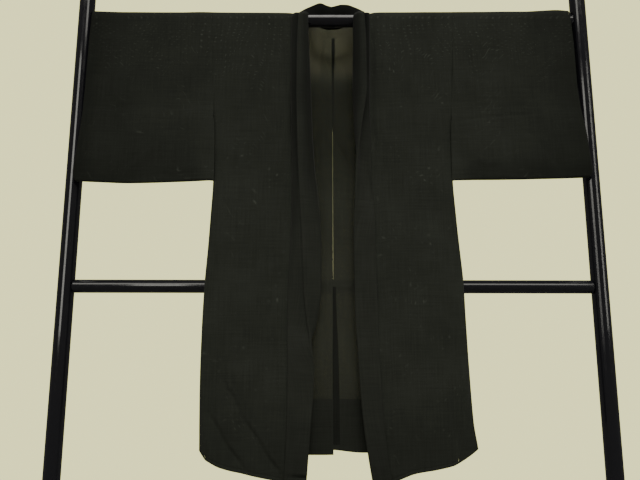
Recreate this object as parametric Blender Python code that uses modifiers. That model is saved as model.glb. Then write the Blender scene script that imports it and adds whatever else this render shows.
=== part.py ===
"""A sheer haori jacket spread on a tubular kimono stand.

Units are metres, +Z is up and the front of the jacket faces -Y. The origin is on the floor,
midway between the two posts. Left and right are the wearer's, so left is at +X.
Cloth is a wall through rings of points that are worked out from the tables below.
"""
import math
from collections import namedtuple

import bpy
from mathutils import Matrix, Vector

# ---- Stand ---------------------------------------------------------------------------------
POST_R = 0.019
POST_X = 0.6455
POST_TOP = 1.70
RAIL_R = 0.016
RAIL_Z = 1.602
LOWER_RAIL_Z = 0.907
FOOT_LENGTH = 0.46
FOOT_WIDTH = 0.050
FOOT_HEIGHT = 0.024
FOOT_ROUNDING = 0.006
TUBE_SIDES = 28
TUBE_ROUNDING = 0.003

# ---- Cloth ---------------------------------------------------------------------------------
WALL = 0.0012
GAP = 0.0003
ARC_STEPS = 4
SEAT_R = (RAIL_R + GAP) / math.cos(math.pi / 4 / ARC_STEPS) + WALL / 2
COLLAR_ROLL = 0.0056
COLLAR_ROLL_DEPTH = 0.003
FLAP_OVER_FRONT = 0.0045
SLEEVE_CORNER_R = 0.022
SLEEVE_CORNER_CUT = 0.90
CORNER_ROWS = (0.73, 0.46)
SLEEVE_EDGE = 0.010
CUFF_SEWN_Z = 1.335
CUFF_OPEN_Z = 1.365
GUSSET_TOP_Z = 1.25
GUSSET_FOLD_SHARE = 0.45
HEM_BAND_TOP_Z = 0.6473
HEM_BAND_INSET = 0.004
HEM_BAND_BEHIND = WALL + GAP
FRONT_HEM_ROWS = 5
HEM_DRAWN_IN = 0.2
HEM_RAISED = 0.06
FRONT_ROW_BIAS = 1.15
COLLAR_LEG_POINT = 0.55
SEAM_MEETING = 0.0006
SEAM_LAP = WALL + GAP
NECK_CLEARANCE = 0.0010

# The body at each height: depth of the front and back layers, the half width where the front
# and the back end (armhole seam, then gusset seams), and the gusset's outer fold.
Level = namedtuple("Level", "z front_y back_y front_left front_right back_left back_right "
                            "fold_left fold_right")
LEVELS = (
    Level(0.470, -0.0445, -0.0175, 0.2680, 0.2800, 0.3050, 0.2870, 0.3330, 0.3010),
    Level(0.512, -0.0440, -0.0175, 0.2760, 0.2850, 0.3050, 0.2880, 0.3290, 0.3015),
    Level(0.540, -0.0435, -0.0175, 0.2830, 0.2880, 0.3050, 0.2890, 0.3256, 0.3022),
    Level(0.600, -0.0420, -0.0175, 0.2960, 0.2960, 0.3040, 0.2920, 0.3175, 0.3042),
    Level(0.680, -0.0400, -0.0175, 0.3060, 0.3030, 0.3035, 0.2960, 0.3142, 0.3062),
    Level(0.750, -0.0380, -0.0175, 0.3080, 0.3045, 0.3040, 0.2990, 0.3118, 0.3070),
    Level(0.820, -0.0360, -0.0174, 0.3076, 0.3043, 0.3040, 0.3005, 0.3103, 0.3066),
    Level(0.907, -0.0333, -0.0169, 0.3060, 0.3026, 0.3030, 0.3000, 0.3086, 0.3050),
    Level(1.000, -0.0305, -0.0120, 0.3010, 0.2990, 0.2995, 0.2975, 0.3032, 0.3004),
    Level(1.080, -0.0281, -0.0075, 0.2968, 0.2960, 0.2958, 0.2950, 0.2985, 0.2974),
    Level(1.165, -0.0255, -0.0028, 0.2930, 0.2930, 0.2930, 0.2930, 0.2948, 0.2948),
    Level(1.250, -0.0230, 0.0011, 0.2955, 0.2955, 0.2955, 0.2955, 0.2968, 0.2968),
    Level(1.360, -0.0203, 0.0062, 0.2995, 0.2995, 0.2995, 0.2995, 0.3000, 0.3000),
    Level(1.500, -0.0180, 0.0125, 0.3080, 0.3080, 0.3080, 0.3080, 0.3080, 0.3080),
    Level(RAIL_Z, -SEAT_R, SEAT_R, 0.3135, 0.3135, 0.3135, 0.3135, 0.3135, 0.3135),
)

# The collar at each height of the front: the seam that sews it to the front's edge, the roll
# where the band folds over, the flap's free edge, and how far the roll stands forward. Near the
# neck the seam lies inside the roll and the band's inner half shows; lower down, the roll has
# crossed over the seam and the flap lies flat on the front.
Collar = namedtuple("Collar", "z seam_left seam_right roll_left roll_right flap_left flap_right "
                              "lift_left lift_right")
COLLAR = (
    Collar(0.470, 0.1210, 0.1040, 0.0860, 0.0608, 0.1290, 0.1120, 0.0030, 0.0030),
    Collar(0.530, 0.1120, 0.1000, 0.0762, 0.0566, 0.1200, 0.1080, 0.0030, 0.0030),
    Collar(0.604, 0.1050, 0.0940, 0.0664, 0.0510, 0.1130, 0.1060, 0.0030, 0.0030),
    Collar(0.648, 0.1020, 0.0880, 0.0623, 0.0475, 0.1100, 0.1055, 0.0030, 0.0034),
    Collar(0.714, 0.0990, 0.0740, 0.0582, 0.0447, 0.1070, 0.1060, 0.0030, 0.0070),
    Collar(0.771, 0.0975, 0.0560, 0.0550, 0.0495, 0.1055, 0.1065, 0.0032, 0.0130),
    Collar(0.828, 0.0965, 0.0375, 0.0516, 0.0605, 0.1045, 0.1070, 0.0036, 0.0165),
    Collar(0.901, 0.0940, 0.0289, 0.0497, 0.0680, 0.1030, 0.1065, 0.0044, 0.0215),
    Collar(1.016, 0.0900, 0.0291, 0.0483, 0.0725, 0.1015, 0.1015, 0.0070, 0.0250),
    Collar(1.090, 0.0800, 0.0330, 0.0503, 0.0765, 0.0995, 0.0995, 0.0120, 0.0260),
    Collar(1.200, 0.0625, 0.0455, 0.0547, 0.0829, 0.0945, 0.1005, 0.0230, 0.0270),
    Collar(1.300, 0.0535, 0.0515, 0.0670, 0.0865, 0.0930, 0.1035, 0.0280, 0.0280),
    Collar(1.400, 0.0512, 0.0555, 0.0812, 0.0885, 0.0940, 0.1055, 0.0290, 0.0280),
    Collar(1.500, 0.0520, 0.0600, 0.0820, 0.0882, 0.0950, 0.1065, 0.0270, 0.0260),
    Collar(RAIL_Z, 0.0535, 0.0640, 0.0787, 0.0850, 0.0960, 0.1060, 0.0200, 0.0200),
)

# The collar round the neck, from the top of the rail to the centre back: the seam that sews it
# to the body, the roll along its upper edge, and the flap's lower edge outside.
Neck = namedtuple("Neck", "seam_x seam_y seam_z roll_x roll_y roll_z flap_x flap_y flap_z")
NECK = (
    Neck(0.0610, 0.0000, 1.6207, 0.0830, -0.005, 1.632, 0.0985, 0.0000, 1.6237),
    Neck(0.0600, 0.0140, 1.6210, 0.0805, 0.012, 1.642, 0.0960, 0.0170, 1.6235),
    Neck(0.0575, 0.0300, 1.6205, 0.0730, 0.031, 1.656, 0.0900, 0.0400, 1.6220),
    Neck(0.0520, 0.0490, 1.6210, 0.0600, 0.050, 1.675, 0.0760, 0.0640, 1.6250),
    Neck(0.0405, 0.0665, 1.6230, 0.0410, 0.068, 1.694, 0.0540, 0.0820, 1.6320),
    Neck(0.0215, 0.0790, 1.6260, 0.0200, 0.081, 1.702, 0.0270, 0.0955, 1.6380),
    Neck(0.0000, 0.0850, 1.6280, 0.0000, 0.088, 1.701, 0.0000, 0.1010, 1.6400),
)

# How far the back leans out behind the rail at the middle of the neck, how far to the sides that
# reaches, and how round its plan is (1 is a parabola, 2 a bell).
Lean = namedtuple("Lean", "z out spread power")
NECK_LEAN = (
    Lean(1.15, 0.0, 0.120, 2.0), Lean(1.25, 0.004, 0.115, 2.0), Lean(1.35, 0.015, 0.105, 2.0),
    Lean(1.45, 0.032, 0.094, 1.8), Lean(1.55, 0.054, 0.076, 1.3),
    Lean(RAIL_Z, 0.066, 0.063, 1.0),
)

# The sleeve at each height: inner and outer half widths of its two layers, and the depths.
Sleeve = namedtuple("Sleeve", "z front_in back_in front_out back_out front_y back_y_in "
                              "back_y_out")
SLEEVE = (
    Sleeve(1.140, 0.2905, 0.2978, 0.6375, 0.6375, -0.0305, -0.0225, -0.0225),
    Sleeve(1.190, 0.2908, 0.2980, 0.6370, 0.6370, -0.0303, -0.0195, -0.0222),
    Sleeve(1.250, 0.2920, 0.2985, 0.6325, 0.6325, -0.0285, -0.0110, -0.0218),
    Sleeve(1.310, 0.2945, 0.2993, 0.6275, 0.6280, -0.0262, -0.0020, -0.0214),
    Sleeve(1.335, 0.2988, 0.2997, 0.6245, 0.6260, -0.0238, 0.0025, -0.0212),
    Sleeve(1.360, 0.2999, 0.2999, 0.6215, 0.6255, -0.0206, 0.0062, -0.0180),
    Sleeve(1.420, 0.3034, 0.3034, 0.6190, 0.6245, -0.0193, 0.0089, -0.0045),
    Sleeve(1.500, 0.3084, 0.3084, 0.6185, 0.6245, -0.0180, 0.0125, 0.0075),
    Sleeve(RAIL_Z, 0.3139, 0.3139, 0.6165, 0.6245, -SEAT_R, SEAT_R, SEAT_R),
)

# The last four points before a sleeve's edge, where it is open and where the layers are sewn.
Turn = namedtuple("Turn", "open_inset sewn_inset toward")
EDGE_TURN = (
    Turn(0.009, 0.0060, 0.0), Turn(0.006, 0.0030, 0.2), Turn(0.003, 0.0012, 0.55),
    Turn(0.0, 0.0, 1.0),
)

# Lower edges, as height against half width.
Edge = namedtuple("Edge", "x z")
FRONT_HEM = {
    "left": (Edge(0.1210, 0.4700), Edge(0.1450, 0.4780), Edge(0.1900, 0.4925),
             Edge(0.2350, 0.5000), Edge(0.2670, 0.5076), Edge(0.2760, 0.5120)),
    "right": (Edge(0.1040, 0.4700), Edge(0.1440, 0.4786), Edge(0.2080, 0.4913),
              Edge(0.2560, 0.5047), Edge(0.2850, 0.5200)),
}
BACK_HEM = {
    "left": (Edge(0.0, 0.5353), Edge(0.067, 0.5290), Edge(0.18, 0.5300), Edge(0.305, 0.5340)),
    "right": (Edge(0.0, 0.5245), Edge(0.065, 0.5244), Edge(0.18, 0.5270), Edge(0.288, 0.5330)),
}
GUSSET_HEM = {"left": (0.5120, 0.5410, 0.5340), "right": (0.5200, 0.5370, 0.5330)}
SLEEVE_HEM = {
    "left": (Edge(0.29, 1.1650), Edge(0.40, 1.1660), Edge(0.50, 1.1675), Edge(0.64, 1.1720)),
    "right": (Edge(0.29, 1.1640), Edge(0.40, 1.1590), Edge(0.50, 1.1560), Edge(0.64, 1.1600)),
}

# Large soft folds pressed into a layer: the line from (x1, z1) to (x2, z2), x towards the side,
# with the depth (minus is towards the viewer in front) and the half width.
Fold = namedtuple("Fold", "x1 z1 x2 z2 depth width")
FOLDS = {
    "front_left": (
        Fold(0.262, 0.72, 0.150, 0.47, 0.0028, 0.020),
        Fold(0.215, 1.05, 0.205, 0.60, -0.0022, 0.030),
    ),
    "front_right": (
        Fold(0.272, 0.73, 0.108, 0.46, 0.0034, 0.018),
        Fold(0.292, 0.64, 0.190, 0.47, 0.0028, 0.015),
        Fold(0.175, 1.10, 0.185, 0.75, -0.0022, 0.030),
    ),
    "back_left": (
        Fold(0.020, 1.26, 0.052, 1.16, 0.0030, 0.010),
        Fold(0.150, 1.45, 0.160, 0.98, 0.0025, 0.030),
    ),
    "back_right": (
        Fold(0.048, 1.45, 0.030, 1.02, 0.0035, 0.011),
        Fold(0.170, 1.40, 0.150, 1.00, 0.0025, 0.030),
    ),
}

SIDES = {"left": 1.0, "right": -1.0}


# ---- Small helpers -------------------------------------------------------------------------
def curve_value(keys, values, key):
    """Value at key on a smooth curve through rising keys that never overshoots them."""
    if key <= keys[0]:
        return values[0]
    if key >= keys[-1]:
        return values[-1]
    steps = [(values[i + 1] - values[i]) / (keys[i + 1] - keys[i]) for i in range(len(keys) - 1)]

    def slope(i):
        if i == 0:
            return steps[0]
        if i == len(keys) - 1:
            return steps[-1]
        before, after = steps[i - 1], steps[i]
        return 0.0 if before * after <= 0 else 2 * before * after / (before + after)

    i = max(n for n in range(len(keys) - 1) if keys[n] <= key)
    span = keys[i + 1] - keys[i]
    t = (key - keys[i]) / span
    rise = t * t * (3 - 2 * t)
    return (values[i] * (1 - rise) + values[i + 1] * rise
            + span * slope(i) * t * (1 - t) ** 2 - span * slope(i + 1) * t * t * (1 - t))


def at(rows, column, key, by="z"):
    """Value of a table's column where its key column has the given value."""
    return curve_value([getattr(row, by) for row in rows],
                       [getattr(row, column) for row in rows], key)


def ease(value, low, high):
    """0 below low, 1 above high, and a smooth step between them."""
    t = min(1.0, max(0.0, (value - low) / (high - low)))
    return t * t * (3 - 2 * t)


def mix(a, b, t):
    return a + (b - a) * t


def fold_depth(folds, x, z):
    """Depth of a layer's soft folds at a point, faded out near the shoulder."""
    total = 0.0
    for fold in folds:
        along_x, along_z = fold.x2 - fold.x1, fold.z2 - fold.z1
        length = math.hypot(along_x, along_z)
        t = ((x - fold.x1) * along_x + (z - fold.z1) * along_z) / length ** 2
        across = ((x - fold.x1) * along_z - (z - fold.z1) * along_x) / length
        ends = ease(t, -0.12, 0.18) * ease(1 - t, -0.12, 0.18)
        total += fold.depth * ends * math.exp(-(across / fold.width) ** 2)
    return total


def material(name, colour, roughness, metallic=0.0):
    found = bpy.data.materials.get(name)
    if found:
        return found
    made = bpy.data.materials.new(name)
    made.use_nodes = True
    shader = made.node_tree.nodes["Principled BSDF"]
    shader.inputs["Base Color"].default_value = (*colour, 1.0)
    shader.inputs["Roughness"].default_value = roughness
    shader.inputs["Metallic"].default_value = metallic
    made.diffuse_color = (*colour, 1.0)
    return made


def gauze():
    return material("black gauze", (0.013, 0.013, 0.011), 0.75)


def doubled_gauze():
    return material("doubled black gauze", (0.010, 0.010, 0.009), 0.72)


def lacquer():
    return material("gloss black tube", (0.006, 0.006, 0.008), 0.16)


def add_object(name, mesh, finish):
    made = bpy.data.objects.new(name, mesh)
    mesh.materials.append(finish)
    bpy.data.collections["haori on stand"].objects.link(made)
    return made


def add_wall(name, grid, finish):
    """A cloth wall: the open surface through a grid of points, thickened by half each way."""
    wide = len(grid[0])
    faces = [(r * wide + c, r * wide + c + 1, (r + 1) * wide + c + 1, (r + 1) * wide + c)
             for r in range(len(grid) - 1) for c in range(wide - 1)]
    mesh = bpy.data.meshes.new(name)
    mesh.from_pydata([point for row in grid for point in row], [], faces)
    mesh.shade_smooth()
    wall = add_object(name, mesh, finish)
    thick = wall.modifiers.new("wall", "SOLIDIFY")
    thick.thickness = WALL
    thick.offset = 0.0
    thick.use_even_offset = True
    return wall


# ---- Body ----------------------------------------------------------------------------------
def front_seam_x(side, z):
    """Half width of the seam between the front and the collar."""
    return at(COLLAR, "seam_" + side, z)


def front_point(side, x, z):
    y = at(LEVELS, "front_y", z) + fold_depth(FOLDS["front_" + side], x, z)
    return Vector((SIDES[side] * x, y, z))


def front_rows():
    """Shares of the way from the rail's height to the hem, closer together near the hem."""
    count = 26
    return [1 - (1 - i / count) ** FRONT_ROW_BIAS for i in range(1, count + 1)]


def seam_heights():
    """Heights on the front's collar seam that the front and the collar share."""
    return [mix(RAIL_Z, COLLAR[0].z, share) for share in front_rows()]


def front_grid(side):
    """The front's points, from the top of the rail down to the hem."""
    columns = 11
    outer_x = LEVELS[-1].front_left
    grid = []
    for step in range(ARC_STEPS + 1):
        angle = math.radians(90 * (1 - step / ARC_STEPS))
        share = step / ARC_STEPS
        inner = mix(NECK[0].seam_x + NECK_CLEARANCE, front_seam_x(side, RAIL_Z), share)
        y = -SEAT_R * math.cos(angle) - (GAP / 2 if step == 0 else 0.0)
        z = RAIL_Z + SEAT_R * math.sin(angle)
        grid.append([Vector((SIDES[side] * mix(inner, outer_x, c / columns), y, z))
                     for c in range(columns + 1)])
    for share in front_rows():
        row = []
        for c in range(columns + 1):
            across = c / columns
            hem_x = mix(front_seam_x(side, COLLAR[0].z), FRONT_HEM[side][-1].x, across)
            hem_z = at(FRONT_HEM[side], "z", hem_x, by="x")
            z = mix(RAIL_Z, hem_z, share)
            inner = front_seam_x(side, z)
            outer = at(LEVELS, "front_" + side, z) - GAP / 2
            row.append(front_point(side, mix(inner, outer, across), z))
        grid.append(row)
    return grid


def build_front(side):
    add_wall("front_" + side, front_grid(side), gauze())


def neck_share(x, z):
    """1 at the centre back, falling to 0 beside the neck."""
    row = min(1.0, x / at(NECK_LEAN, "spread", z))
    return (1 - row * row) ** at(NECK_LEAN, "power", z)


def back_point(side, x, z):
    y = (at(LEVELS, "back_y", z) + at(NECK_LEAN, "out", z) * neck_share(x, z)
         + fold_depth(FOLDS["back_" + side], x, z))
    return Vector((SIDES[side] * x, y, z))


def back_shares():
    """Where the back's columns lie at the top: on the collar's rows, then out to the armhole."""
    neck = [row.seam_x for row in reversed(NECK[1:])] + [NECK[0].seam_x + NECK_CLEARANCE]
    outer = LEVELS[-1].back_left
    steps = 8
    beside = [mix(neck[-1], outer, i / steps) for i in range(1, steps + 1)]
    return [x / outer for x in neck + beside]


def build_back(side):
    rows = 20
    seams = NECK[::-1]
    outer_top = LEVELS[-1].back_left
    grid = []
    for step in range(ARC_STEPS + 1):
        angle = math.radians(90 * (1 - step / ARC_STEPS))
        row = []
        for share in back_shares():
            x = share * outer_top
            on_neck = x < seams[-1].seam_x
            top_y = at(seams, "seam_y", x, by="seam_x") if on_neck else GAP / 2
            top_z = at(seams, "seam_z", x, by="seam_x") - GAP - WALL / 2 if on_neck \
                else RAIL_Z + SEAT_R
            low = back_point(side, x, RAIL_Z)
            y = top_y + (low.y - top_y) * math.cos(angle)
            z = RAIL_Z + (top_z - RAIL_Z) * math.sin(angle)
            row.append(Vector((SIDES[side] * max(x, GAP), y, z)))
        grid.append(row)
    for r in range(1, rows + 1):
        row = []
        for share in back_shares():
            hem_x = share * BACK_HEM[side][-1].x
            z = mix(RAIL_Z, at(BACK_HEM[side], "z", hem_x, by="x"), r / rows)
            x = max(GAP, share * at(LEVELS, "back_" + side, z) - (GAP / 2) * share)
            row.append(back_point(side, x, z))
        grid.append(row)
    add_wall("back_" + side, grid, gauze())


def build_gusset(side):
    """A folded strip between the front's and the back's side edges, from armpit to hem."""
    rows = 16
    grid = []
    for r in range(rows + 1):
        row = []
        for across, hem_z in zip((0.0, 0.5, 0.9, 1.0, 1.1, 1.5, 2.0),
                                 curve_hems(GUSSET_HEM[side])):
            z = mix(GUSSET_TOP_Z, hem_z, r / rows)
            front_x = at(LEVELS, "front_" + side, z) + WALL / 2 + GAP
            back_x = at(LEVELS, "back_" + side, z) + WALL / 2 + GAP
            fold_x = at(LEVELS, "fold_" + side, z)
            front_y = front_point(side, front_x, z).y
            back_y = back_point(side, back_x, z).y
            fold_y = mix(front_y, back_y, GUSSET_FOLD_SHARE)
            if across <= 1.0:
                x, y = mix(front_x, fold_x, across), mix(front_y, fold_y, across)
            else:
                x, y = mix(fold_x, back_x, across - 1), mix(fold_y, back_y, across - 1)
            row.append(Vector((SIDES[side] * x, y, z)))
        grid.append(row)
    add_wall("gusset_" + side, grid, gauze())


def curve_hems(heights):
    """Hem heights of the gusset's seven columns, from front seam to fold to back seam."""
    front, fold, back = heights
    return (front, mix(front, fold, 0.5), mix(front, fold, 0.9), fold,
            mix(fold, back, 0.1), mix(fold, back, 0.5), back)


def build_back_hem(side):
    """The back's turned-up hem, lying on the inner face of the back."""
    columns, rows = 8, 3
    grid = []
    for r in range(rows + 1):
        row = []
        for c in range(columns + 1):
            across = c / columns
            hem_x = across * BACK_HEM[side][-1].x
            low_z = at(BACK_HEM[side], "z", hem_x, by="x") + WALL
            z = mix(HEM_BAND_TOP_Z, low_z, r / rows)
            x = max(GAP, across * (at(LEVELS, "back_" + side, z) - HEM_BAND_INSET))
            row.append(back_point(side, x, z) - Vector((0, HEM_BAND_BEHIND, 0)))
        grid.append(row)
    add_wall("back_hem_" + side, grid, doubled_gauze())


def build_front_hem(side):
    """The front's turned-up hem: the front's own lowest points, moved to its inner face."""
    grid = [[point + Vector((0, HEM_BAND_BEHIND, 0)) for point in row]
            for row in front_grid(side)[-FRONT_HEM_ROWS:]]
    grid[-1] = [low.lerp(high, HEM_RAISED) for low, high in zip(grid[-1], grid[-2])]
    for row in grid:
        row[0] = row[0].lerp(row[1], HEM_DRAWN_IN)
        row[-1] = row[-1].lerp(row[-2], HEM_DRAWN_IN)
    add_wall("front_hem_" + side, grid, doubled_gauze())


# ---- Sleeves -------------------------------------------------------------------------------
def turned(sewn, edge):
    """Inset from the edge and share of the way to the other layer, for the last four points."""
    row = EDGE_TURN[edge]
    return mix(row.open_inset, row.sewn_inset, sewn), sewn * row.toward


def build_sleeve(side, layer):
    """One layer of a sleeve. It turns to meet the other along the hem and below the cuff."""
    columns, rows = 8, 12
    facing = -1 if layer == "front" else 1
    grid = []
    for step in range(ARC_STEPS):
        angle = math.radians(90 * (1 - step / ARC_STEPS))
        y = facing * max(SEAT_R * math.cos(angle), GAP / 2)
        z = RAIL_Z + SEAT_R * math.sin(angle)
        grid.append([Vector((SIDES[side] * sleeve_x(layer, RAIL_Z, 1.0, c, columns), y, z))
                     for c in range(columns + 4)])
    for r in range(rows + 6):
        row = []
        for c in range(columns + 4):
            hem_x = mix(SLEEVE[0].front_in, SLEEVE[0].front_out, min(1.0, c / columns))
            bottom = at(SLEEVE_HEM[side], "z", hem_x, by="x")
            toward_row = 0.0
            if r < rows:
                z = mix(RAIL_Z, bottom + SLEEVE_CORNER_R, r / (rows - 1))
            elif r < rows + 2:
                z = bottom + SLEEVE_CORNER_R * CORNER_ROWS[r - rows]
            else:
                inset, toward_row = turned(0.0 if c == 0 else 1.0, r - rows - 2)
                z = bottom + inset
            x = sleeve_x(layer, z, z - bottom, c, columns)
            toward_column = 0.0 if c < columns else turned(cuff_sewn(z), c - columns)[1]
            front_y, back_y = sleeve_depths(x, z)
            own, other = (front_y, back_y) if layer == "front" else (back_y, front_y)
            meeting = (own + other) / 2 + facing * SEAM_MEETING
            y = mix(own, meeting, max(toward_row, toward_column))
            row.append(Vector((SIDES[side] * x, y, z)))
        grid.append(row)
    add_wall("sleeve_%s_%s" % (side, layer), grid, gauze())


def cuff_sewn(z):
    """1 where the outer edge is sewn, 0 where it is the cuff's opening."""
    return 1 - ease(z, CUFF_SEWN_Z, CUFF_OPEN_Z)


def sleeve_x(layer, z, above_hem, column, columns):
    """Half width of a column, drawn in round the outer corner near the hem."""
    inner = at(SLEEVE, layer + "_in", z)
    outer = mix(at(SLEEVE, layer + "_out", z), at(SLEEVE, "front_out", z), cuff_sewn(z))
    if above_hem < SLEEVE_CORNER_R:
        drop = SLEEVE_CORNER_CUT * (SLEEVE_CORNER_R - above_hem)
        outer -= SLEEVE_CORNER_R - math.sqrt(SLEEVE_CORNER_R ** 2 - drop ** 2)
    if column < columns:
        return mix(inner, outer - SLEEVE_EDGE, column / (columns - 1))
    return outer - turned(cuff_sewn(z), column - columns)[0]


def sleeve_depths(x, z):
    """Depths of the sleeve's front and back layers."""
    inner, outer = at(SLEEVE, "back_in", z), at(SLEEVE, "front_out", z)
    across = min(1.0, max(0.0, (x - inner) / (outer - inner)))
    back = mix(at(SLEEVE, "back_y_in", z), at(SLEEVE, "back_y_out", z), across)
    return at(SLEEVE, "front_y", z), back


# ---- Collar --------------------------------------------------------------------------------
def collar_section(seam, roll, flap):
    """Seven points across the folded band: up its inner leg, round the roll, down the flap."""
    along = (roll - seam).normalized()
    outward = (flap - seam) - (flap - seam).dot(along) * along
    outward.normalize()
    inner = roll - along * COLLAR_ROLL_DEPTH
    outer = inner + outward * COLLAR_ROLL
    return [seam, seam.lerp(inner, COLLAR_LEG_POINT), inner, roll + outward * COLLAR_ROLL / 2, outer,
            outer.lerp(flap, 0.5), flap]


def neck_ends(side, row):
    """A neck row's seam, roll and flap points."""
    return [Vector((SIDES[side] * getattr(row, end + "_x"), getattr(row, end + "_y"),
                    getattr(row, end + "_z"))) for end in ("seam", "roll", "flap")]


def collar_ends(side, z):
    """The collar's seam, roll and flap points at a height of the front."""
    y = at(LEVELS, "front_y", z)
    seam = front_point(side, front_seam_x(side, z), z) - Vector((0, SEAM_LAP, 0))
    roll = Vector((SIDES[side] * at(COLLAR, "roll_" + side, z),
                   y - at(COLLAR, "lift_" + side, z), z))
    flap = front_point(side, at(COLLAR, "flap_" + side, z), z) - Vector((0, FLAP_OVER_FRONT, 0))
    return seam, roll, flap


def build_collar(side):
    sign = SIDES[side]
    grid = []
    for row in reversed(NECK):
        section = collar_section(*neck_ends(side, row))
        if row.seam_x == 0.0:
            section = [Vector((sign * GAP, p.y, p.z)) for p in section]
        grid.append(section)
    top, low = neck_ends(side, NECK[0]), collar_ends(side, RAIL_Z)
    for step in range(1, ARC_STEPS):
        share = step / ARC_STEPS
        angle = math.radians(90 * (1 - share))
        seam, roll, flap = (high.lerp(end, share) for high, end in zip(top, low))
        for edge, over in ((seam, SEAM_LAP), (flap, FLAP_OVER_FRONT)):
            edge.y = -(SEAT_R + over) * math.cos(angle)
            edge.z = RAIL_Z + (SEAT_R + over) * math.sin(angle)
        grid.append(collar_section(seam, roll, flap))
    for z in [RAIL_Z] + seam_heights():
        grid.append(collar_section(*collar_ends(side, z)))
    add_wall("collar_" + side, grid, doubled_gauze())


# ---- Stand ---------------------------------------------------------------------------------
def add_tube(name, radius, length, place, along_x=False):
    bpy.ops.mesh.primitive_cylinder_add(vertices=TUBE_SIDES, radius=radius, depth=length)
    tube = bpy.context.object
    if along_x:
        tube.data.transform(Matrix.Rotation(math.pi / 2, 4, "Y"))
    return finish_stand_piece(tube, name, place, TUBE_ROUNDING)


def finish_stand_piece(piece, name, place, rounding):
    piece.name = name
    piece.data.name = name
    piece.location = place
    piece.data.materials.append(lacquer())
    piece.data.shade_smooth()
    piece.data.set_sharp_from_angle(angle=math.radians(40))
    edge = piece.modifiers.new("rounded edge", "BEVEL")
    edge.width = rounding
    edge.segments = 2
    edge.limit_method = "ANGLE"
    for owner in list(piece.users_collection):
        owner.objects.unlink(piece)
    bpy.data.collections["haori on stand"].objects.link(piece)
    return piece


def build_stand():
    rail_length = 2 * (POST_X - POST_R - GAP)
    post_length = POST_TOP - FOOT_HEIGHT - GAP
    add_tube("rail_top", RAIL_R, rail_length, (0, 0, RAIL_Z), along_x=True)
    add_tube("rail_lower", RAIL_R, rail_length, (0, 0, LOWER_RAIL_Z), along_x=True)
    for side, sign in SIDES.items():
        add_tube("post_" + side, POST_R, post_length,
                 (sign * POST_X, 0, FOOT_HEIGHT + GAP + post_length / 2))
        bpy.ops.mesh.primitive_cube_add(size=1)
        foot = bpy.context.object
        foot.data.transform(Matrix.Diagonal(
            (FOOT_WIDTH, FOOT_LENGTH, FOOT_HEIGHT, 1)))
        finish_stand_piece(foot, "foot_" + side, (sign * POST_X, 0, FOOT_HEIGHT / 2),
                           FOOT_ROUNDING)


def main():
    for old in list(bpy.data.objects):
        bpy.data.objects.remove(old, do_unlink=True)
    group = bpy.data.collections.new("haori on stand")
    bpy.context.scene.collection.children.link(group)
    build_stand()
    for side in SIDES:
        build_front(side)
        build_back(side)
        build_gusset(side)
        build_back_hem(side)
        build_front_hem(side)
        build_sleeve(side, "front")
        build_sleeve(side, "back")
        build_collar(side)


main()
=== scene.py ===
"""Looks of a sheer black haori jacket spread on a tubular stand.

Units are metres, +Z is up and the front of the jacket faces -Y. Left and right are the wearer's,
so left is at +X. The tables below are the jacket's own sizes; every piece of cloth is drawn
through points worked out from them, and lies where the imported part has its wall.
"""
import math
from collections import namedtuple

import bmesh
import bpy
import numpy as np
from mathutils import Matrix, Vector


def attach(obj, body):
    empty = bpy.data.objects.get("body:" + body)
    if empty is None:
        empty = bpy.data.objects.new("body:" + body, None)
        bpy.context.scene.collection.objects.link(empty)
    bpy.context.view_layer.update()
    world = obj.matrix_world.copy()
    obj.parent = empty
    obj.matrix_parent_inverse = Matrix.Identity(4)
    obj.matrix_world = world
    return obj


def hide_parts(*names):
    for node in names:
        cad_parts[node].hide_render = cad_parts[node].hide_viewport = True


bl_info = {
    "name": "Sheer haori on a stand",
    "version": (1, 0, 0),
    "blender": (4, 5, 0),
    "location": "3D View > Sidebar > Haori",
    "description": "Gauze cloth, hems and collar of a haori, and its enamelled stand",
    "category": "Object",
}

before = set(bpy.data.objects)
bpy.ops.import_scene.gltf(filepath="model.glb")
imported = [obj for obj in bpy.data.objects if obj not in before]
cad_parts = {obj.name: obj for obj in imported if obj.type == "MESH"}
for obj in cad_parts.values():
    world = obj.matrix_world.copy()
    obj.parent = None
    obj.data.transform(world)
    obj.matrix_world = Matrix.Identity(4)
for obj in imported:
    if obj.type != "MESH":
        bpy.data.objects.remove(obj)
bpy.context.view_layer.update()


def table(columns, *rows):
    """Rows of sizes that are read by their columns' names."""
    kind = namedtuple("Row", columns)
    return tuple(kind(*row) for row in rows)


def tables(columns, **rows):
    """One such table for each side or layer, by its name."""
    return {name: table(columns, *own) for name, own in rows.items()}


# ---- Stand and seams -------------------------------------------------------------------------
RAIL_R = 0.016
RAIL_Z = 1.602
LOWER_RAIL_Z = 0.907
SEAT_R = 0.01698
WALL = 0.0012
COLLAR_ROLL = 0.0048
COLLAR_ROLL_DEPTH = 0.0026
COLLAR_THICKNESS = 0.0011
# Bends of the flap's curve from the roll to its edge: two shares up, two shares out, where it
# is rolled near the neck and where it hangs flat.
FLAP_BENDS = (0.55, 0.96, 0.0, 0.18)
HUNG_BENDS = (0.33, 0.67, 0.33, 0.67)
LEG_BELLY = 0.009
LEG_BELLY_SHARE = 0.2
LEG_STANDS_IN = 0.0004
LEG_POINTS = 14
# How many points the band's leg, roll and flap have across, and the heights between which the
# leg's belly and the flap's rolled bends set in.
LEG_STEPS, ROLL_STEPS, FLAP_STEPS = 12, 9, 18
BELLY_HEIGHTS = (1.05, 1.25)
ROLLED_HEIGHTS = (0.9, 1.15)
# Painted shade on the band, by its point across, where it is folded tightly near the neck.
COLLAR_SHADE = ((0, 8, 11, 14, 18, 21, 24, 31, 38),
                (0.45, 0.35, 0.15, 0.12, 0.2, 0.6, 0.7, 0.6, 0.3))
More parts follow.
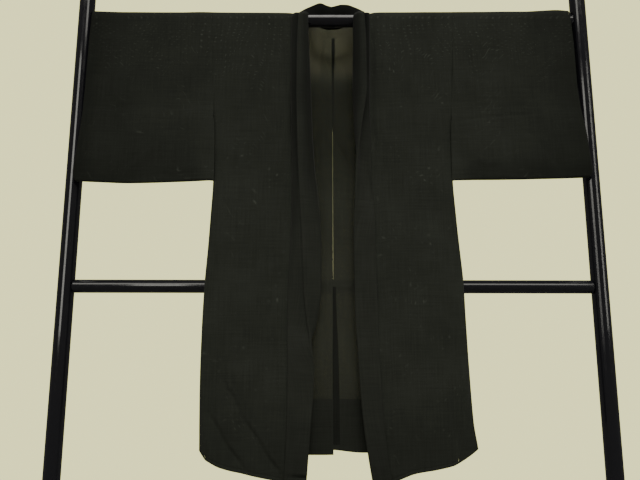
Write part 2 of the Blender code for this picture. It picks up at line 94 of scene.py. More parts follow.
# Between which heights that sets in on each side, and where it grows on the left, by how much.
COLLAR_SHADED = {"left": (1.22, 1.38), "right": (0.95, 1.35)}
COLLAR_SHADED_MORE = (1.42, 1.48, 0.6)
# How far the flap lies over the front and the rail, and the seam before the front.
FLAP_OVER_FRONT = 0.002
FLAP_OVER_RAIL = 0.0002
SEAM_LAP = 0.0012
NECK_CLEARANCE = 0.001
NECK_TUCK = (0.0012, 0.004)
SLEEVE_LAP = {"left": 0.0015, "right": 0.0004}
SLEEVE_CORNER_R = 0.022
SLEEVE_CORNER_CUT = 0.9
SLEEVE_EDGE = 0.01
SLEEVE_TURN = 0.0065
CUFF_SEWN_Z = 1.335
CUFF_OPEN_Z = 1.365
GUSSET_TOP_Z = 1.25
GUSSET_FOLD_SHARE = 0.45
HEM_BAND_TOP_Z = 0.6473
HEM_BAND_INSET = 0.004
FRONT_HEM_WIDTH = 0.128
CLOTH_APART = 0.0008
SEAM_DIP = 0.0011
SEAM_DIP_WIDTH = 0.0022
HEM_EDGE = 0.0075
HEM_GROOVE = 0.0008
TAUT_BELOW_RAIL = 0.09
# Distances from a seam, hem or edge at which the cloth's mesh has its nearest points.
BESIDE_SEAM = (0.0, 0.0009, 0.0018, 0.0029)
BESIDE_EDGE = (1.0, 0.8, 0.65, 0.5, 0.36, 0.24, 0.14, 0.07, 0.025, 0.0)
HEM_STEP = 0.0012

# Widths of the turned-in cloth along each seam, to both of its sides where it is pressed open,
# how far some of it lies in from an edge, and where all of it has points across.
ALLOWANCE_ACROSS = np.linspace(0, 1, 5)
ARMHOLE_ALLOWANCE = (0.007, 0.005)
SIDE_ALLOWANCE = (0.009, 0.0)
SLEEVE_SIDE_HEM = 0.011
SLEEVE_SIDE_INSET = 0.0003
SLEEVE_FOLD = 0.042
SLEEVE_FOLD_INSET = 0.012
CUFF_HEM = 0.01
CUFF_INSET = 0.0004
STAND_NODES = ("post_left", "post_right", "rail_top", "rail_lower", "foot_left", "foot_right")

# How far the pressed allowance of the centre back seam reaches to the left, at each height.
CENTRE_ALLOWANCE = table(
    "z left",
    (0.52, 0.015), (0.65, 0.014), (0.76, 0.0115), (0.88, 0.007), (1.28, 0.0045), (1.46, 0.005),
    (1.53, 0.0075), (RAIL_Z, 0.0085),
)

# ---- Looks -----------------------------------------------------------------------------------
BLACK = (0.0, 0.0, 0.0)
YARN_STREAK = 0.035
ROUGHNESS_SPREAD = 0.08
SHEEN_ROUGHNESS = 0.45
# How high threads stand where they cross, how steeply a hole between them clears towards its
# middle, and where it starts to.
CROSSING_HEIGHT = 0.35
HOLE_SLOPE = 30.0
HOLE_START = 0.925
# How far down from the shoulder the threads draw together, how open they are above and below
# that, and over which length they change.
OPENNESS = ((0.14, 1.0, 0.3), (0.6, 1.0, 0.9), (1.0, 1.0, 0.1))
OPENNESS_BLEND = 0.06
# How far down the back the painted light on its inner face near the neck fades, and where and by
# how much painted light makes it paler again.
SHINE_DOWN = (0.135, 0.195)
PALER_DOWN, PALER = (0.5, 0.7), 0.16
# How far down the back painted shade darkens its inner face behind the fronts, and how much of
# the painted light near the neck is held back in a strip beside the centre seam, as (metres,
# share) pairs.
SHADED_DOWN = ((0.17, 0.0), (0.22, 0.32), (0.4, 0.32), (0.5, 0.0))
NECK_STRIP = ((-0.035, 0.0), (-0.029, 0.5), (-0.004, 0.6), (0.001, 0.0))
# How much painted shade darkens the cloth by place across it, by height, and by height at the
# sleeves' hems, as (metres, share) pairs. The last holds past the armholes, more to the left.
PAINTED_SHADE_ACROSS = (
    (-0.63, 0.47), (-0.605, 0.38), (-0.583, 0.28), (-0.54, 0.22), (-0.5, 0.17), (-0.44, 0.13),
    (-0.375, 0.09), (-0.325, 0.05), (-0.27, 0.0), (0.4, 0.0), (0.452, 0.04), (0.494, 0.08),
    (0.535, 0.15), (0.577, 0.25), (0.618, 0.36), (0.64, 0.42),
)
PAINTED_SHADE_UP = (
    (0.47, 0.24), (0.542, 0.2), (0.585, 0.165), (0.627, 0.1), (0.671, 0.04), (0.715, 0.0),
    (1.14, 0.0), (1.25, 0.06), (1.35, 0.1),
)
PAINTED_SHADE_AT_SLEEVE_HEM = (
    (1.165, 0.3), (1.191, 0.29), (1.21, 0.22), (1.229, 0.12), (1.26, 0.03), (1.28, 0.0),
)
PAST_ARMHOLE = (0.31, 0.34)
PAINTED_SHADE_MIDDLE, PAINTED_SHADE_TO_LEFT = 0.75, 0.4
# Painted light, spots where two layers' holes line up: their pitch, the lengths from the shoulder
# between which they weaken, and how the noise that scatters them is offset before and after.
MOIRE_PITCH = 0.00047
MOIRE_BAND = (0.12, 0.21)
MOIRE_OFFSETS = (-1.1, -1.75)
# How much rubbing dulls the enamel, how much dust lightens it, and its clear coat.
RUBBED_ROUGHNESS = 0.12
DUST_PALER, DUST_SHARE = 0.018, 0.5
COAT, COAT_ROUGHNESS = 0.35, 0.06
FLOOR_ROUGHNESS, FLOOR_SPECKLE = 0.6, 0.97

# ---- Camera and lamps --------------------------------------------------------------------------
CAMERA_PLACE = (-0.0315, -1.213, 0.84)
CAMERA_PITCH = math.radians(8.48)
CAMERA_ROLL = 5.5 / 3355  # how far a level line rises, over its length
CAMERA_LENS = 28.125
CAMERA_SENSOR = 36.0
LAMP_COLOUR = (1.0, 0.98, 0.9)
JACKET_MIDDLE = (0.0, 0.0, 1.05)
SHOWS_IN_GLOSS, LIGHTS_CLOTH = "gloss", "cloth"
LAMPS = table(
    "name power place aim wide tall reach",
    ("ceiling lamp front", "key_power", (0.4, -4.4, 8.0), JACKET_MIDDLE, 3.0, 3.0, LIGHTS_CLOTH),
    ("ceiling lamp back", "back_power", (-0.4, 4.4, 8.0), JACKET_MIDDLE, 3.0, 3.0, LIGHTS_CLOTH),
    ("rail lamp", "rail_power", (0.0, -0.33, 2.33), (0.0, 0.0, 1.6), 0.34, 0.16, SHOWS_IN_GLOSS),
    ("wide lamp", "long_power", (0.0, -4.0, 5.0), JACKET_MIDDLE, 7.4, 1.3, SHOWS_IN_GLOSS),
    ("tall lamp", "tall_power", (-1.6, -3.6, 1.9), JACKET_MIDDLE, 0.5, 2.6, SHOWS_IN_GLOSS),
    ("side lamp", "side_power", (3.0, -3.0, 1.9), JACKET_MIDDLE, 0.5, 2.4, SHOWS_IN_GLOSS),
)

# ---- Forms of the cloth ----------------------------------------------------------------------
# The body at each height: depth of the front and back layers, the half width where the front
# and the back end (armhole seam, then gusset seams), and the gusset's outer fold.
LEVELS = table(
    "z front_y back_y front_left front_right back_left back_right fold_left fold_right",
    (0.47, -0.0445, -0.0175, 0.268, 0.28, 0.305, 0.287, 0.333, 0.301),
    (0.512, -0.044, -0.0175, 0.276, 0.285, 0.305, 0.288, 0.329, 0.3015),
    (0.54, -0.0435, -0.0175, 0.283, 0.288, 0.305, 0.289, 0.3256, 0.3022),
    (0.6, -0.042, -0.0175, 0.296, 0.296, 0.304, 0.292, 0.3175, 0.3042),
    (0.68, -0.04, -0.0175, 0.306, 0.303, 0.3035, 0.296, 0.3142, 0.3062),
    (0.75, -0.038, -0.0175, 0.308, 0.3045, 0.304, 0.299, 0.3118, 0.307),
    (0.82, -0.036, -0.0174, 0.3076, 0.3043, 0.304, 0.3005, 0.3103, 0.3066),
    (0.907, -0.0333, -0.0169, 0.306, 0.3026, 0.303, 0.3, 0.3086, 0.305),
    (1.0, -0.0305, -0.012, 0.301, 0.299, 0.2995, 0.2975, 0.3032, 0.3004),
    (1.08, -0.0281, -0.0075, 0.2968, 0.296, 0.2958, 0.295, 0.2985, 0.2974),
    (1.165, -0.0255, -0.0028, 0.293, 0.293, 0.293, 0.293, 0.2948, 0.2948),
    (1.25, -0.023, 0.0011, 0.2955, 0.2955, 0.2955, 0.2955, 0.2968, 0.2968),
    (1.36, -0.0203, 0.0062, 0.2995, 0.2995, 0.2995, 0.2995, 0.3, 0.3),
    (1.5, -0.018, 0.0125, 0.308, 0.308, 0.308, 0.308, 0.308, 0.308),
    (RAIL_Z, -SEAT_R, SEAT_R, 0.3135, 0.3135, 0.3135, 0.3135, 0.3135, 0.3135),
)

# The collar at each height of the front: the seam that sews it to the front's edge, the roll
# where the band folds over, the flap's free edge, and how far the roll stands forward. Near the
# neck the seam lies inside the roll and the band's inner half shows; lower down, the roll has
# crossed over the seam and the flap lies flat on the front.
COLLAR = table(
    "z seam_left seam_right roll_left roll_right flap_left flap_right lift_left lift_right",
    (0.47, 0.121, 0.104, 0.086, 0.0608, 0.129, 0.112, 0.003, 0.003),
    (0.53, 0.112, 0.1, 0.0762, 0.0566, 0.12, 0.108, 0.003, 0.003),
    (0.604, 0.105, 0.094, 0.0664, 0.051, 0.113, 0.106, 0.003, 0.003),
    (0.648, 0.102, 0.088, 0.0623, 0.0475, 0.11, 0.1055, 0.003, 0.0034),
    (0.714, 0.099, 0.074, 0.0582, 0.0447, 0.107, 0.106, 0.003, 0.007),
    (0.771, 0.0975, 0.056, 0.055, 0.0495, 0.1055, 0.1065, 0.0032, 0.013),
    (0.828, 0.0965, 0.0375, 0.0516, 0.0605, 0.1045, 0.107, 0.0036, 0.0165),
    (0.901, 0.094, 0.0289, 0.0497, 0.068, 0.103, 0.1065, 0.0044, 0.0215),
    (1.016, 0.09, 0.0291, 0.0483, 0.0725, 0.1015, 0.1015, 0.007, 0.025),
    (1.09, 0.08, 0.033, 0.0503, 0.0765, 0.0995, 0.0995, 0.012, 0.026),
    (1.2, 0.0625, 0.0455, 0.0547, 0.0829, 0.0945, 0.1005, 0.023, 0.027),
    (1.3, 0.0535, 0.0515, 0.067, 0.0865, 0.093, 0.1035, 0.028, 0.028),
    (1.4, 0.0512, 0.0555, 0.0812, 0.0885, 0.094, 0.1055, 0.029, 0.028),
    (1.5, 0.052, 0.06, 0.082, 0.0882, 0.095, 0.1065, 0.027, 0.026),
    (RAIL_Z, 0.0535, 0.064, 0.0787, 0.085, 0.096, 0.106, 0.02, 0.02),
)

# The collar round the neck, from the top of the rail to the centre back: the seam that sews it
# to the body, the roll along its upper edge, and the flap's lower edge outside.
NECK = table(
    "seam_x seam_y seam_z roll_x roll_y roll_z flap_x flap_y flap_z",
    (0.061, 0.0, 1.6207, 0.083, -0.005, 1.627, 0.0985, 0.0, 1.6197),
    (0.06, 0.014, 1.621, 0.0805, 0.012, 1.639, 0.096, 0.017, 1.6215),
    (0.0575, 0.03, 1.6205, 0.073, 0.031, 1.656, 0.09, 0.04, 1.622),
    (0.052, 0.049, 1.621, 0.06, 0.05, 1.675, 0.076, 0.064, 1.625),
    (0.0405, 0.0665, 1.623, 0.041, 0.068, 1.694, 0.054, 0.082, 1.632),
    (0.0215, 0.079, 1.626, 0.02, 0.081, 1.702, 0.027, 0.0955, 1.638),
    (0.0, 0.085, 1.628, 0.0, 0.088, 1.701, 0.0, 0.101, 1.64),
)

# How far beside the centre back seam both halves come to the same depth, so that they meet.
SEAM_SETTLES = 0.035

# How far the centre back seam gapes to each side of the middle.
SEAM_SLIT = table(
    "z half",
    (0.906, 0.0), (0.96, 0.0001), (1.06, 0.00007), (1.29, 0.00004), (1.32, 0.0),
)
# The stretches of that seam whose allowances show, from the top, and their share of painted shade.
CENTRE_STRIPS = ((RAIL_Z - 0.004, 1.315), (0.905, HEM_BAND_TOP_Z - 0.1))
CENTRE_SHADE = 0.45
# Where they have points across and how far each stands off, from low down to near the neck.
CENTRE_ACROSS = (-0.1, 0.0, 0.2, 0.45, 0.75, 1.0)
CENTRE_STAND = (0.2, 1.0, 1.3, 1.2, 1.1, 0.9)
CENTRE_STAND_LOW, CENTRE_STAND_HIGH, CENTRE_STAND_HEIGHTS = 0.0011, 0.004, (1.5, 1.56)

# How much higher than NECK the roll peaks on each side, at which of its rows and how widely.
NECK_PEAK = {"left": 0.0, "right": 0.0045}
NECK_PEAK_ROW, NECK_PEAK_WIDTH = 4.45, 0.55

# How far the back leans out behind the rail at the middle of the neck, how far to the sides that
# reaches, and how round its plan is (1 is a parabola, 2 a bell).
NECK_LEAN = table(
    "z out spread power",
    (1.15, 0.0, 0.12, 2.0), (1.25, 0.004, 0.115, 2.0), (1.35, 0.015, 0.105, 2.0),
    (1.45, 0.032, 0.094, 1.8), (1.55, 0.054, 0.076, 1.3),
    (RAIL_Z, 0.066, 0.063, 1.0),
)

# The sleeve at each height: inner and outer half widths of its two layers, and the depths.
SLEEVE = table(
    "z front_in back_in front_out back_out front_y back_y_in back_y_out",
    (1.14, 0.2905, 0.2978, 0.6375, 0.6375, -0.0305, -0.0225, -0.0225),
    (1.19, 0.2908, 0.298, 0.637, 0.637, -0.0303, -0.0195, -0.0222),
    (1.25, 0.292, 0.2985, 0.6325, 0.6325, -0.0285, -0.011, -0.0218),
    (1.31, 0.2945, 0.2993, 0.6275, 0.628, -0.0262, -0.002, -0.0214),
    (1.335, 0.2988, 0.2997, 0.6245, 0.626, -0.0238, 0.0025, -0.0212),
    (1.36, 0.2999, 0.2999, 0.6215, 0.6255, -0.0206, 0.0062, -0.018),
    (1.42, 0.3034, 0.3034, 0.619, 0.6245, -0.0193, 0.0089, -0.0045),
    (1.5, 0.3084, 0.3084, 0.6185, 0.6245, -0.018, 0.0125, 0.0075),
    (RAIL_Z, 0.3139, 0.3139, 0.6165, 0.6245, -SEAT_R, SEAT_R, SEAT_R),
)

# How far each sleeve's front layer reaches past SLEEVE, and how high the cloth stands over the
# rail.
CUFF_REACH = table(
    "z left right",
    (1.3, 0.0, 0.0), (1.375, 0.0, 0.006), (1.457, 0.0, 0.008),
    (1.546, 0.001, 0.008), (RAIL_Z, 0.0, 0.008),
)
RAIL_RISE = table(
    "x left right",
    (0.094, 0.0, 0.0), (0.11, 0.0046, 0.0026), (0.126, 0.0055, 0.0035),
    (0.18, 0.0058, 0.004), (0.24, 0.0064, 0.0042), (0.29, 0.0066, 0.0045),
    (0.345, 0.0072, 0.0056), (0.4, 0.0076, 0.0045), (0.45, 0.0086, 0.0045),
    (0.5, 0.0088, 0.0048), (0.547, 0.0116, 0.005), (0.586, 0.0138, 0.0062),
    (0.62, 0.0108, 0.0076),
)

# Lower edges, as height against half width.
FRONT_HEM = tables(
    "x z",
    left=((0.121, 0.47), (0.145, 0.478), (0.19, 0.4925),
          (0.235, 0.5), (0.267, 0.5076), (0.276, 0.512)),
    right=((0.104, 0.47), (0.144, 0.4786), (0.208, 0.4913),
           (0.256, 0.5047), (0.285, 0.52)),
)
BACK_HEM = tables(
    "x z",
    left=((0.0, 0.5353), (0.067, 0.529), (0.18, 0.53), (0.305, 0.534)),
    right=((0.0, 0.5245), (0.065, 0.5244), (0.18, 0.527), (0.288, 0.533)),
)
GUSSET_HEM = {"left": (0.512, 0.541, 0.534), "right": (0.52, 0.537, 0.533)}
SLEEVE_HEM = tables(
    "x z",
    left=((0.29, 1.165), (0.4, 1.166), (0.5, 1.1675), (0.64, 1.172)),
    right=((0.29, 1.164), (0.4, 1.159), (0.5, 1.156), (0.64, 1.16)),
)

# Large soft folds pressed into a layer: the line from (x1, z1) to (x2, z2), x towards the side,
# with the depth (minus is towards the viewer in front) and the half width.
FOLDS = tables(
    "x1 z1 x2 z2 depth width",
    front_left=(
        (0.262, 0.72, 0.15, 0.47, 0.0028, 0.02),
        (0.215, 1.05, 0.205, 0.6, -0.0022, 0.03),
    ),
    front_right=(
        (0.272, 0.73, 0.108, 0.46, 0.0034, 0.018),
        (0.292, 0.64, 0.19, 0.47, 0.0028, 0.015),
        (0.175, 1.1, 0.185, 0.75, -0.0022, 0.03),
    ),
    back_left=(
        (0.02, 1.26, 0.052, 1.16, 0.003, 0.01),
        (0.15, 1.45, 0.16, 0.98, 0.0025, 0.03),
    ),
    back_right=(
        (0.048, 1.45, 0.03, 1.02, 0.0035, 0.011),
        (0.17, 1.4, 0.15, 1.0, 0.0025, 0.03),
    ),
)

SIDES = {"left": 1.0, "right": -1.0}

# Creases pressed or hung into a layer, finer than its folds: the line from (x1, z1) to (x2, z2)
# with its bow to one side, the depth (minus is forward) and the half width.
CREASES = tables(
    "x1 z1 x2 z2 bow depth width",
    front_left=(
        (0.2184, 0.9, 0.2284, 0.68, 0.004, 0.0034, 0.008),
        (0.099, 1.61, 0.101, 1.23, 0.0, 0.006, 0.007),
        (0.306, 0.7, 0.2762, 0.512, 0.003, 0.0028, 0.0036),
        (0.15, 1.56, 0.118, 1.18, -0.006, 0.0011, 0.006),
        (0.225, 1.54, 0.24, 1.23, 0.008, 0.001, 0.008),
        (0.29, 1.24, 0.245, 1.05, 0.006, 0.0014, 0.006),
        (0.16, 0.64, 0.145, 0.48, 0.003, 0.0014, 0.006),
        (0.195, 0.6, 0.205, 0.5, -0.002, 0.001, 0.005),
    ),
    front_right=(
        (0.0985, 1.61, 0.0975, 1.08, 0.0, 0.006, 0.007),
        (0.2595, 0.701, 0.2114, 0.622, 0.001, 0.0026, 0.0036),
        (0.2114, 0.622, 0.1101, 0.483, -0.004, 0.0034, 0.0038),
        (0.2811, 0.618, 0.1943, 0.495, -0.003, 0.0034, 0.0038),
        (0.14, 1.55, 0.13, 1.2, 0.006, 0.0011, 0.006),
        (0.23, 1.53, 0.245, 1.26, 0.009, 0.001, 0.008),
        (0.288, 1.22, 0.25, 1.04, 0.005, 0.0013, 0.006),
        (0.245, 1.02, 0.238, 0.76, 0.005, 0.0013, 0.007),
        (0.15, 0.98, 0.16, 0.7, -0.004, 0.001, 0.006),
    ),
    back_left=(
        (0.0089, 1.28, 0.0536, 1.184, 0.002, 0.0018, 0.0035),
        (0.035, 1.5, 0.05, 1.3, 0.003, 0.0012, 0.006),
        (0.03, 1.1, 0.04, 0.8, -0.004, 0.0012, 0.006),
        (0.15, 1.3, 0.17, 0.7, 0.01, 0.0016, 0.009),
        (0.24, 1.2, 0.23, 0.6, -0.01, 0.0014, 0.009),
    ),
    back_right=(
        (0.038, 1.6, 0.0053, 1.479, 0.001, 0.0022, 0.0045),
        (0.025, 1.54, 0.018, 1.25, 0.003, 0.0012, 0.005),
        (0.055, 1.48, 0.045, 1.18, -0.003, 0.0013, 0.006),
        (0.028, 1.0, 0.024, 0.72, 0.003, 0.0012, 0.005),
        (0.16, 1.32, 0.18, 0.72, -0.01, 0.0016, 0.009),
        (0.25, 1.15, 0.235, 0.62, 0.01, 0.0014, 0.009),
    ),
    sleeve_left_front=(
        (0.3145, 1.321, 0.53, 1.342, 0.001, 0.0026, 0.0024),
        (0.3367, 1.216, 0.4102, 1.211, 0.002, -0.0016, 0.009),
        (0.33, 1.52, 0.43, 1.33, 0.01, 0.001, 0.01),
        (0.56, 1.5, 0.59, 1.25, 0.006, 0.0012, 0.008),
        (0.47, 1.3, 0.56, 1.19, -0.006, 0.001, 0.007),
    ),
    sleeve_right_front=(
        (0.355, 1.315, 0.49, 1.324, 0.001, 0.0013, 0.0022),
        (0.33, 1.5, 0.39, 1.3, 0.01, 0.001, 0.01),
        (0.57, 1.52, 0.595, 1.23, -0.006, 0.0014, 0.009),
        (0.43, 1.28, 0.53, 1.19, 0.006, 0.001, 0.007),
        (0.32, 1.2, 0.42, 1.185, 0.002, -0.0012, 0.008),
    ),
    sleeve_left_back=(
        (0.32, 1.32, 0.52, 1.335, 0.002, -0.0018, 0.003),
        (0.35, 1.52, 0.43, 1.25, 0.01, 0.0012, 0.01),
        (0.54, 1.48, 0.57, 1.23, -0.008, 0.0012, 0.009),
    ),
    sleeve_right_back=(
        (0.35, 1.318, 0.5, 1.328, 0.002, -0.0016, 0.003),
        (0.36, 1.5, 0.44, 1.24, -0.01, 0.0012, 0.01),
        (0.53, 1.5, 0.56, 1.24, 0.008, 0.0012, 0.009),
    ),
)

# Slow waves of hanging cloth: how many to a metre across and down, and how deep.
WAVES = table(
    "across down depth",
    (4.1, 0.7, 0.0011), (7.3, -1.3, 0.0007), (12.1, 2.1, 0.00036),
    (2.3, 5.2, 0.0005), (19.0, -4.3, 0.00017), (9.4, 11.3, 0.00016),
    (31.0, 7.9, 0.00008),
)
LAYERS = tuple(CREASES)
# How much out of step one layer's waves are with the next one's, and one wave with the next.
WAVE_SHIFT, WAVE_SHIFT_MORE = 1.9, 0.37
# Over which shares of its line a fold and a crease fade in at both ends.
FOLD_ENDS, CREASE_ENDS = (-0.12, 0.18), (-0.08, 0.22)
# How far a crease wanders for its width and how often, how uneven it is along its line, and how
# high, how far off and how wide the ridge beside it is.
WANDER, WANDER_TURNS, WANDER_SHIFT = 0.35, 9.0, 2.1
EVEN, UNEVEN, UNEVEN_TURNS, UNEVEN_SHIFT, UNEVEN_START = 0.78, 0.22, 13.0, 1.7, 0.8
RIDGE_HEIGHT, RIDGE_APART, RIDGE_WIDTH = 0.38, 2.1, 1.5


# ---- Curves and reliefs ----------------------------------------------------------------------
def curve(keys, values, key):
    """Values on a smooth curve through rising keys that never overshoots them."""
    keys, values = np.array(keys, float), np.array(values, float)
    key = np.clip(key, keys[0], keys[-1])
    span = np.diff(keys)
    steps = np.diff(values) / span
    before, after = steps[:-1], steps[1:]
    together = before * after > 0
    total = np.where(together, before + after, 1.0)
    inside = np.where(together, 2 * before * after / total, 0.0)
    slope = np.concatenate([steps[:1], inside, steps[-1:]])
    i = np.clip(np.searchsorted(keys, key, side="right") - 1, 0, len(span) - 1)
    t = (key - keys[i]) / span[i]
    rise = t * t * (3 - 2 * t)
    return (values[i] * (1 - rise) + values[i + 1] * rise
            + span[i] * slope[i] * t * (1 - t) ** 2 - span[i] * slope[i + 1] * t * t * (1 - t))


def at(rows, column, key, by="z"):
    """Values of a table's column where its key column has the given values."""
    return curve([getattr(row, by) for row in rows], [getattr(row, column) for row in rows], key)


def ease(value, low, high):
    """0 below low, 1 above high, and a smooth step between them."""
    t = np.clip((value - low) / (high - low), 0.0, 1.0)
    return t * t * (3 - 2 * t)


def mix(a, b, t):
    return a + (b - a) * t


def along_and_across(line, x, z):
    """Share of the way along a fold's or crease's line, and the distance to one side of it."""
    along_x, along_z = line.x2 - line.x1, line.z2 - line.z1
    length = math.hypot(along_x, along_z)
    t = ((x - line.x1) * along_x + (z - line.z1) * along_z) / length ** 2
    return t, ((x - line.x1) * along_z - (z - line.z1) * along_x) / length


def faded_ends(t, ends):
    return ease(t, *ends) * ease(1 - t, *ends)


def fold_depth(layer, x, z):
    total = np.zeros(np.broadcast(x, z).shape)
    for fold in FOLDS.get(layer, ()):
        t, across = along_and_across(fold, x, z)
        total += fold.depth * faded_ends(t, FOLD_ENDS) * np.exp(-(across / fold.width) ** 2)
    return total


def crease_depth(layer, x, z):
    """Troughs that wander a little, are uneven along their length and have a low ridge beside."""
    total = np.zeros(np.broadcast(x, z).shape)
    for number, crease in enumerate(CREASES[layer]):
        t, across = along_and_across(crease, x, z)
        wander = WANDER * crease.width * np.sin(WANDER_TURNS * t + WANDER_SHIFT * number)
        across = across - crease.bow * 4 * np.clip(t * (1 - t), 0, 1) - wander
        turns = UNEVEN_TURNS * t + UNEVEN_SHIFT * number + UNEVEN_START
        uneven = EVEN + UNEVEN * np.sin(turns)
        trough = np.exp(-(across / crease.width) ** 2)
        beside = (across - RIDGE_APART * crease.width) / (RIDGE_WIDTH * crease.width)
        ridge = RIDGE_HEIGHT * np.exp(-beside ** 2)
        total += crease.depth * uneven * faded_ends(t, CREASE_ENDS) * (trough - ridge)
    return total


def wave_depth(layer, x, z):
    """Slow waves, the same in kind on every layer and never in step with the next one."""
    shift = WAVE_SHIFT * LAYERS.index(layer)
    total = np.zeros(np.broadcast(x, z).shape)
    for number, wave in enumerate(WAVES):
        turns = wave.across * x + wave.down * z
        total += wave.depth * np.sin(2 * math.pi * turns + shift * (1 + WAVE_SHIFT_MORE * number))
    return total


def relief(layer, x, z):
    """Depth of everything that a hung layer does, nothing where the rail holds it taut."""
    hung = ease(RAIL_Z - z, 0.0, TAUT_BELOW_RAIL)
    return hung * (fold_depth(layer, x, z) + crease_depth(layer, x, z) + wave_depth(layer, x, z))


def hem_groove(height):
    """How far the stitches of a turned hem draw the cloth in, at a height above its edge."""
    return HEM_GROOVE * np.exp(-((height - HEM_EDGE) / SEAM_DIP_WIDTH) ** 2)


def seam_dip(distance):
    """How far a seam's stitches draw the cloth in, at a distance from the seam."""
    return SEAM_DIP * np.exp(-(distance / SEAM_DIP_WIDTH) ** 2)


# ---- The layers of the jacket ----------------------------------------------------------------
def front_seam_x(side, z):
    return at(COLLAR, "seam_" + side, z)


def front_y(side, x, z):
    return at(LEVELS, "front_y", z) + relief("front_" + side, x, z)


def neck_share(x, z):
    """1 at the centre back, falling to 0 beside the neck."""
    row = np.minimum(1.0, x / at(NECK_LEAN, "spread", z))
    return (1 - row * row) ** at(NECK_LEAN, "power", z)


def back_y(side, x, z):
    own = relief("back_" + side, x, z)
    at_seam = [relief("back_" + each, x * 0.0, z) for each in ("left", "right")]
    to_meet = sum(at_seam) / 2 - at_seam[("left", "right").index(side)]
    hung = (at(LEVELS, "back_y", z) + at(NECK_LEAN, "out", z) * neck_share(x, z)
            + own + to_meet * (1 - ease(x, 0.0, SEAM_SETTLES)))
    around = (RAIL_R + CLOTH_APART) ** 2 - (z - LOWER_RAIL_Z) ** 2
    return np.where(around > 0, np.minimum(hung, -np.sqrt(np.maximum(around, 0.0))), hung)


def sleeve_depths(side, x, z):
    """Depths of the sleeve's front and back layers."""
    inner, outer = at(SLEEVE, "back_in", z), at(SLEEVE, "front_out", z)
    across = np.clip((x - inner) / (outer - inner), 0.0, 1.0)
    back = mix(at(SLEEVE, "back_y_in", z), at(SLEEVE, "back_y_out", z), across)
    front = at(SLEEVE, "front_y", z) + relief("sleeve_%s_front" % side, x, z)
    return front, back + relief("sleeve_%s_back" % side, x, z)


def grid_of(side, x, y, z):
    """A grid of points from half widths, depths and heights that broadcast together."""
    return np.stack(np.broadcast_arrays(SIDES[side] * x, y, z), axis=-1)


def laid(side, x, y, z, facing):
    """The same grid with its place on the flat cloth."""
    points = grid_of(side, x, y, z)
    return points, cloth_map(points, facing)


def spaced(length, step):
    """Shares from 0 to 1, about a step apart."""
    return np.linspace(0.0, 1.0, max(2, int(math.ceil(length / step)) + 1))


def spaced_with_edges(length, step):
    """Shares from 0 to 1 that are closer together next to both ends, where seams draw in."""
    near = np.array(BESIDE_SEAM) / length
    inner = mix(near[-1], 1 - near[-1], spaced(length, step))
    return np.concatenate([near[:-1], inner, 1 - near[:-1][::-1]])


def spaced_to_hem(length, step):
    """Shares from 0 to 1 that are closer together at the end, where the hem is stitched."""
    hem = 2 * HEM_EDGE / length
    return np.concatenate([(1 - hem) * spaced(length, step)[:-1],
                           1 - hem + hem * spaced(2 * HEM_EDGE, HEM_STEP)])


def columns_down(points):
    """How far down the cloth each point of a grid lies, measured along its column."""
    steps = np.linalg.norm(np.diff(points, axis=0), axis=2)
    return np.vstack([np.zeros(points.shape[1]), np.cumsum(steps, axis=0)])


def cloth_map(points, facing):
    """Where each point lies on the flat cloth: across it, and down from the shoulder."""
    return np.stack([points[..., 0], facing * columns_down(points)], axis=-1)


def lined_up_behind(points, layer_y, side):
    """How far a point's threads are from those seen behind it, from in front of the jacket."""
    eye = np.array(CAMERA_PLACE)
    reach = 1.0
    for _ in range(3):
        behind = eye + (points - eye) * reach
        depth = layer_y(side, np.abs(behind[..., 0]), behind[..., 2])
        reach = ((depth - eye[1]) / (points[..., 1] - eye[1]))[..., None]
    return (behind - points)[..., (0, 2)]


# ---- Meshes ----------------------------------------------------------------------------------
def grid_faces(rows, columns, first):
    corner = first + np.arange(rows * columns).reshape(rows, columns)
    return np.stack([corner[:-1, :-1], corner[:-1, 1:], corner[1:, 1:], corner[1:, :-1]],
                    axis=-1).reshape(-1, 4)


def cloth_piece(name, patches, finish, thickness=0.0):
    """One piece of cloth from patches: a grid of points with its place on flat cloth, and
    perhaps how far its threads are from those behind it.

    Points that two patches share become one, so the piece is a single sheet.
    """
    points, places, behind, faces = [], [], [], []
    for grid, cloth, *offsets in patches:
        rows, columns = grid.shape[:2]
        faces.append(grid_faces(rows, columns, sum(len(p) for p in points)))
        points.append(grid.reshape(-1, 3))
        places.append(cloth.reshape(-1, 2))
        never = np.full((rows * columns, 2), MOIRE_PITCH / 2)
        behind.append(offsets[0].reshape(-1, 2) if offsets else never)
    mesh = bpy.data.meshes.new(name)
    mesh.from_pydata(np.concatenate(points).tolist(), [], np.concatenate(faces).tolist())
    corners = np.empty(len(mesh.loops), int)
    mesh.loops.foreach_get("vertex_index", corners)
    for label, values in (("cloth", places), ("behind", behind)):
        layer = mesh.uv_layers.new(name=label)
        layer.data.foreach_set("uv", np.concatenate(values)[corners].astype(np.float32).ravel())
    sewn = bmesh.new()
    sewn.from_mesh(mesh)
    bmesh.ops.remove_doubles(sewn, verts=sewn.verts, dist=1e-5)
    bmesh.ops.recalc_face_normals(sewn, faces=sewn.faces)
    sewn.to_mesh(mesh)
    sewn.free()
    mesh.shade_smooth()
    mesh.materials.append(finish)
    piece = bpy.data.objects.new(name, mesh)
    bpy.context.scene.collection.objects.link(piece)
    if thickness:
        solid = piece.modifiers.new("thickness", "SOLIDIFY")
        solid.thickness = thickness
        solid.offset = 0.0
    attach(piece, "root")
    return piece


